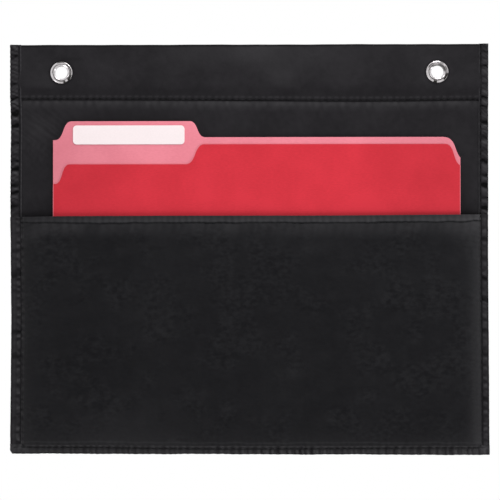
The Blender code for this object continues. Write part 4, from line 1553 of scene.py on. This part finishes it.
            def on_lip(centres: Array) -> Array:
                """Lie on the front, a little below the lip."""
                x = centres[:, 0]
                z = self.lip - self.lip_line(x)
                y = self.smooth_y(x, z) - surface + self.lip_sink
                return stacked(x, y, z + 0.87 * self.lip_shift(x))

            middle = (self.left + self.right) / 2
            ends = [(x, 0, 0) for x in sorted([self.start(side) + side.value * 1.5 * MM, middle])]
            row = sewing.row(f"lip_{side.label}_stitches", *ends, 95, on_lip)
            self.bend(sewn(row, "lip_stitching"), side)
            made.append(row)
        return made

    def bartacks(self) -> list[Piece]:
        """Close rows of short stitches that lock the lip's ends and the lower left corner."""
        y = self.seam_y - self.panel.plies.cloth / 2
        corner = self.panel.bottom + self.margin - self.margin_stitch
        places = {
            "lip_left_bartack": (self.left - 0.6 * MM, self.lip - 1.4 * MM),
            "lip_right_bartack": (self.right + 0.6 * MM, self.lip - 0.2 * MM),
            "corner_bartack": (self.panel.inset_x(Side.LEFT, 3 * MM, corner), corner - 0.6 * MM),
        }
        made = []
        for seed, (name, (x, z)) in enumerate(places.items(), 97):
            down = np.linspace(0.9 * MM, -0.9 * MM, 6)
            centres = stacked(x + 0 * down, y + 0 * down, z + down)
            along = np.tile([1.0, 0, 0.25], (len(down), 1))
            along[1::2, 2] *= -1
            chance = np.random.default_rng(seed)
            piece = sewn(self.panel.sewing.stitches(name, centres, along, chance))
            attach(piece, Body.PANEL.value)
            made.append(piece)
        return made

    def build(self) -> list[Piece]:
        """All pieces of the pocket."""
        fixed = [self.bottom(), *(self.side_seam(side) for side in Side)]
        for piece in fixed:
            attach(piece, Body.PANEL.value)
        return fixed + [self.front(side) for side in Side] + self.sew() + self.bartacks()


@dataclass
class Eyelet:
    """One two-piece eyelet: a flanged barrel from behind, rolled over a washer in front."""

    side: Side
    finish: Material
    bore: float = 4.6 * MM
    wall: float = 0.45 * MM
    flange: float = 7.9 * MM
    flange_height: float = 0.6 * MM
    roll: float = 6.0 * MM
    roll_back: float = 3.2 * MM
    roll_height: float = 0.7 * MM
    washer: float = 8.25 * MM
    washer_back: float = 2.5 * MM
    washer_height: float = 0.4 * MM
    dome: float = 0.45 * MM
    turns: int = 96

    def grommet_profile(self) -> list[tuple[float, float]]:
        """Section of the barrel with its rear flange and its front roll."""
        top = self.roll_back + self.roll_height
        outer = self.bore + self.wall
        half, centre = (self.roll - self.bore) / 2, (self.roll + self.bore) / 2
        points = [(self.bore + 0.35 * MM, 0), (self.flange - 0.3 * MM, 0), (self.flange, 0.22 * MM)]
        points += [(self.flange - 0.08 * MM, 0.45 * MM)]
        points += [(self.flange - 0.4 * MM, self.flange_height)]
        points += [(outer + 0.3 * MM, self.flange_height), (outer, self.flange_height + 0.3 * MM)]
        points += [(outer, self.roll_back)]
        points += [(self.roll - 0.25 * MM, self.roll_back)]
        points += [(self.roll - 0.03 * MM, self.roll_back + 0.12 * MM)]
        for turn in np.linspace(0.12, math.pi - 0.1, 14):
            rise = (self.roll_height - 0.2 * MM) * math.sin(turn)
            height = top - self.roll_height + 0.2 * MM + rise
            points.append((centre + half * math.cos(turn), height))
        points += [(self.bore, self.roll_back - 0.1 * MM), (self.bore, 0.4 * MM)]
        points += [(self.bore + 0.1 * MM, 0.12 * MM)]
        return points

    def washer_profile(self) -> list[tuple[float, float]]:
        """Section of the dished ring under the roll."""
        inner = self.bore + self.wall + 0.3 * MM
        back, thick = self.washer_back, self.washer_height
        under, over = [], []
        for share in np.linspace(0, 1, 13):
            radius = inner + (self.washer - inner) * share
            arch = self.dome * math.sin(math.pi * (0.12 + 0.88 * share)) ** 0.8
            height = back + arch * (share > 0) * (share < 1)
            if share < 0.25:
                height = min(height, self.roll_back - thick - 0.02 * MM)
            under.append((radius, height))
            over.append((radius - 0.02 * MM * share, height + thick))
        over[-1] = (self.washer - 0.14 * MM, back + 0.3 * MM)
        return under + over[::-1]

    def build(self) -> list[Piece]:
        """Both pieces of the eyelet."""
        label = self.side.label
        x = -self.side.value * EYELET_X
        grommet = lathe(f"{label}_grommet", self.grommet_profile(), x, self.turns, self.finish)
        washer = lathe(f"{label}_washer", self.washer_profile(), x, self.turns, self.finish)
        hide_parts(f"eyelet_{label}_grommet")
        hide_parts(f"eyelet_{label}_washer")
        for piece in (grommet, washer):
            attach(piece, Body.PANEL.value)
        return [grommet, washer]


@dataclass
class Folder:
    """The card folder: its packed leaves, crease and label, dressed in card and paper."""

    red: FolderCard = FolderCard(
        "red_card", (0.70, 0.036, 0.056), (0.60, 0.028, 0.044), (0.72, 0.20, 0.24)
    )
    pink: FolderCard = FolderCard(
        "pink_card", (0.89, 0.275, 0.34), (0.81, 0.235, 0.295), (0.9, 0.34, 0.40)
    )
    label: LabelPaper = LabelPaper()

    def build(self) -> list[Piece]:
        """Dress the folder's nodes."""
        low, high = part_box("folder_front_leaf")
        red = replace(self.red, edges=(low[0], high[0])).make()
        pink, paper = self.pink.make(), self.label.make()
        dressing = {
            "folder_back_leaf": pink,
            "folder_front_leaf": red,
            "folder_crease": red,
            "folder_label": paper,
        }
        for node, finish in dressing.items():
            piece = frame["nodes"][node]
            piece.data.materials.clear()
            piece.data.materials.append(finish)
        return [frame["nodes"][node] for node in dressing]


@dataclass
class Studio:
    """Floor, world, lamps and camera."""

    distance: float = 1.2
    yaw: float = math.radians(1.25)
    aim: tuple[float, float, float] = (0.75 * MM, 0, -130 * MM)
    pixel: float = 0.7331 * MM
    pixels: int = 500
    floor_z: float = -0.85
    floor_radius: float = 1.3
    fill: float = 0.25

    def camera(self) -> None:
        """The camera, at the photograph's angle."""
        lens = bpy.data.cameras.new("camera")
        lens.sensor_width = 36
        lens.lens = lens.sensor_width * self.distance / (self.pixel * self.pixels)
        lens.clip_start, lens.clip_end = 0.01, 50
        made = bpy.data.objects.new("camera", lens)
        back = Vector((math.sin(self.yaw), -math.cos(self.yaw), 0))
        made.location = Vector(self.aim) + back * self.distance
        made.rotation_mode = "QUATERNION"
        made.rotation_quaternion = (-back).to_track_quat("-Z", "Y")
        bpy.context.scene.collection.objects.link(made)
        bpy.context.scene.camera = made

    def background(self) -> None:
        """A white world for what is seen in it or through it, dimmer as a fill light."""
        world = bpy.data.worlds.new("studio")
        world.use_nodes = True
        bpy.context.scene.world = world
        paint = Paint(world.node_tree)
        path = paint.add("ShaderNodeLightPath")
        seen = path.output("Is Camera Ray") + path.output("Is Glossy Ray")
        seen = seen + path.output("Is Transmission Ray")
        seen.node.use_clamp = True
        light = {"Color": (1, 1, 1, 1), "Strength": 1.0}
        dim = paint.add("ShaderNodeBackground", inputs=light | {"Strength": self.fill})
        white = paint.add("ShaderNodeBackground", inputs=light)
        mixed = paint.add("ShaderNodeMixShader", inputs={0: seen, 1: dim, 2: white})
        paint.add("ShaderNodeOutputWorld", inputs={"Surface": mixed})

    def floor(self) -> None:
        """A plain pale floor well below the object, which fades into the background."""
        made, paint = material("pale_floor")
        x, y, _ = paint.axes(paint.place())
        away = (x * x + y * y) ** 0.5
        rim = away.between(0.55 * self.floor_radius, 0.97 * self.floor_radius)
        path = paint.add("ShaderNodeLightPath")
        pale = paint.add("ShaderNodeBsdfDiffuse", inputs={"Color": (0.86, 0.86, 0.86, 1)})
        white = paint.add("ShaderNodeEmission", inputs={"Color": (1, 1, 1, 1), "Strength": 1.0})
        seen = rim * path.output("Is Camera Ray")
        mixed = paint.add("ShaderNodeMixShader", inputs={0: seen, 1: pale, 2: white})
        paint.add("ShaderNodeOutputMaterial", inputs={"Surface": mixed})
        turn = np.linspace(0, 2 * math.pi, 96, endpoint=False)
        ring = self.floor_radius * stacked(np.cos(turn), np.sin(turn), 0 * turn)
        disc = mesh_object("floor", ring, [tuple(range(len(turn)))], made)
        disc.location.z = self.floor_z

    def lamp(self, name: str, place: tuple[float, float, float], size: float, power: float) -> None:
        """A soft square lamp that faces the object."""
        light = bpy.data.lights.new(name, "AREA")
        light.size = size
        light.energy = power
        made = bpy.data.objects.new(name, light)
        made.location = place
        towards = Vector(self.aim) - Vector(place)
        made.rotation_mode = "QUATERNION"
        made.rotation_quaternion = towards.to_track_quat("-Z", "Y")
        bpy.context.scene.collection.objects.link(made)

    def build(self) -> None:
        """The whole studio."""
        self.camera()
        self.background()
        self.floor()
        self.lamp("overhead", (0.15, -0.75, 0.8), 0.45, 10.6)
        self.lamp("right", (1.05, -0.7, -0.5), 0.4, 5.0)
        self.lamp("left", (-0.8, -0.9, -0.75), 0.6, 2.6)
        self.lamp("rear", (0.5, 1.3, 0.9), 1.0, 8.0)
        bpy.context.scene.view_settings.view_transform = "Standard"


# A darker copy of the panel's nylon for the pocket's front, which stands for painted shade; its
# finer crinkle and grain are its own.
SHADED_POCKET_NYLON = WovenNylon(
    "shaded_pocket_nylon",
    colour=(0.0080, 0.0079, 0.0090),
    rubbed_and_sheen=(0.0156, 0.0156, 0.0171),
    crinkle=2.6 * MM,
    grain=0.78,
    even=0.8,
)
# Painted dark reflections on each eyelet's rings, as arcs, and one painted glint on the left
# eyelet.
LEFT_PAINTED_REFLECTIONS = (
    Arc(-47, 38, 7.2, 1.1), Arc(20, 50, 7.0, 0.5), Arc(80, 40, 7.6, 0.7, 0.8),
    Arc(150, 40, 6.6, 0.5, 0.6), Arc(-110, 45, 6.4, 0.5, 0.7),
)
RIGHT_PAINTED_REFLECTIONS = (
    Arc(-28, 26, 7.2, 1.1), Arc(-102, 12, 7.2, 1.2), Arc(130, 28, 7.1, 0.5),
    Arc(10, 30, 7.0, 0.45, 0.8), Arc(60, 40, 6.5, 0.4, 0.5), Arc(72, 82, 5.2, 1.1, 0.85),
    Arc(88, 42, 7.6, 1.0, 0.6),
)
NICKEL = {
    Side.LEFT: PolishedNickel("left_nickel", -EYELET_X, LEFT_PAINTED_REFLECTIONS, (Arc(-57, 9, 6.7, 1.0),)),
    Side.RIGHT: PolishedNickel("right_nickel", EYELET_X, RIGHT_PAINTED_REFLECTIONS),
}


def main() -> None:
    """Build the studio, the panel, the pocket, the eyelets and the folder, in that order."""
    logging.basicConfig(level=logging.INFO, format="%(name)s: %(message)s")
    Studio().build()
    nylon = WovenNylon().make()
    panel = Panel(Plies(), nylon, Sewing(SewingThread().make()))
    pocket = Pocket(panel, SHADED_POCKET_NYLON.make())
    made = panel.build() + pocket.build()
    for side in Side:
        made += Eyelet(side, NICKEL[side].make()).build()
    made += Folder().build()
    for piece in made:
        LOG.info("%s: %d points", piece.name, len(piece.data.vertices))


if __name__ == "__main__":
    main()
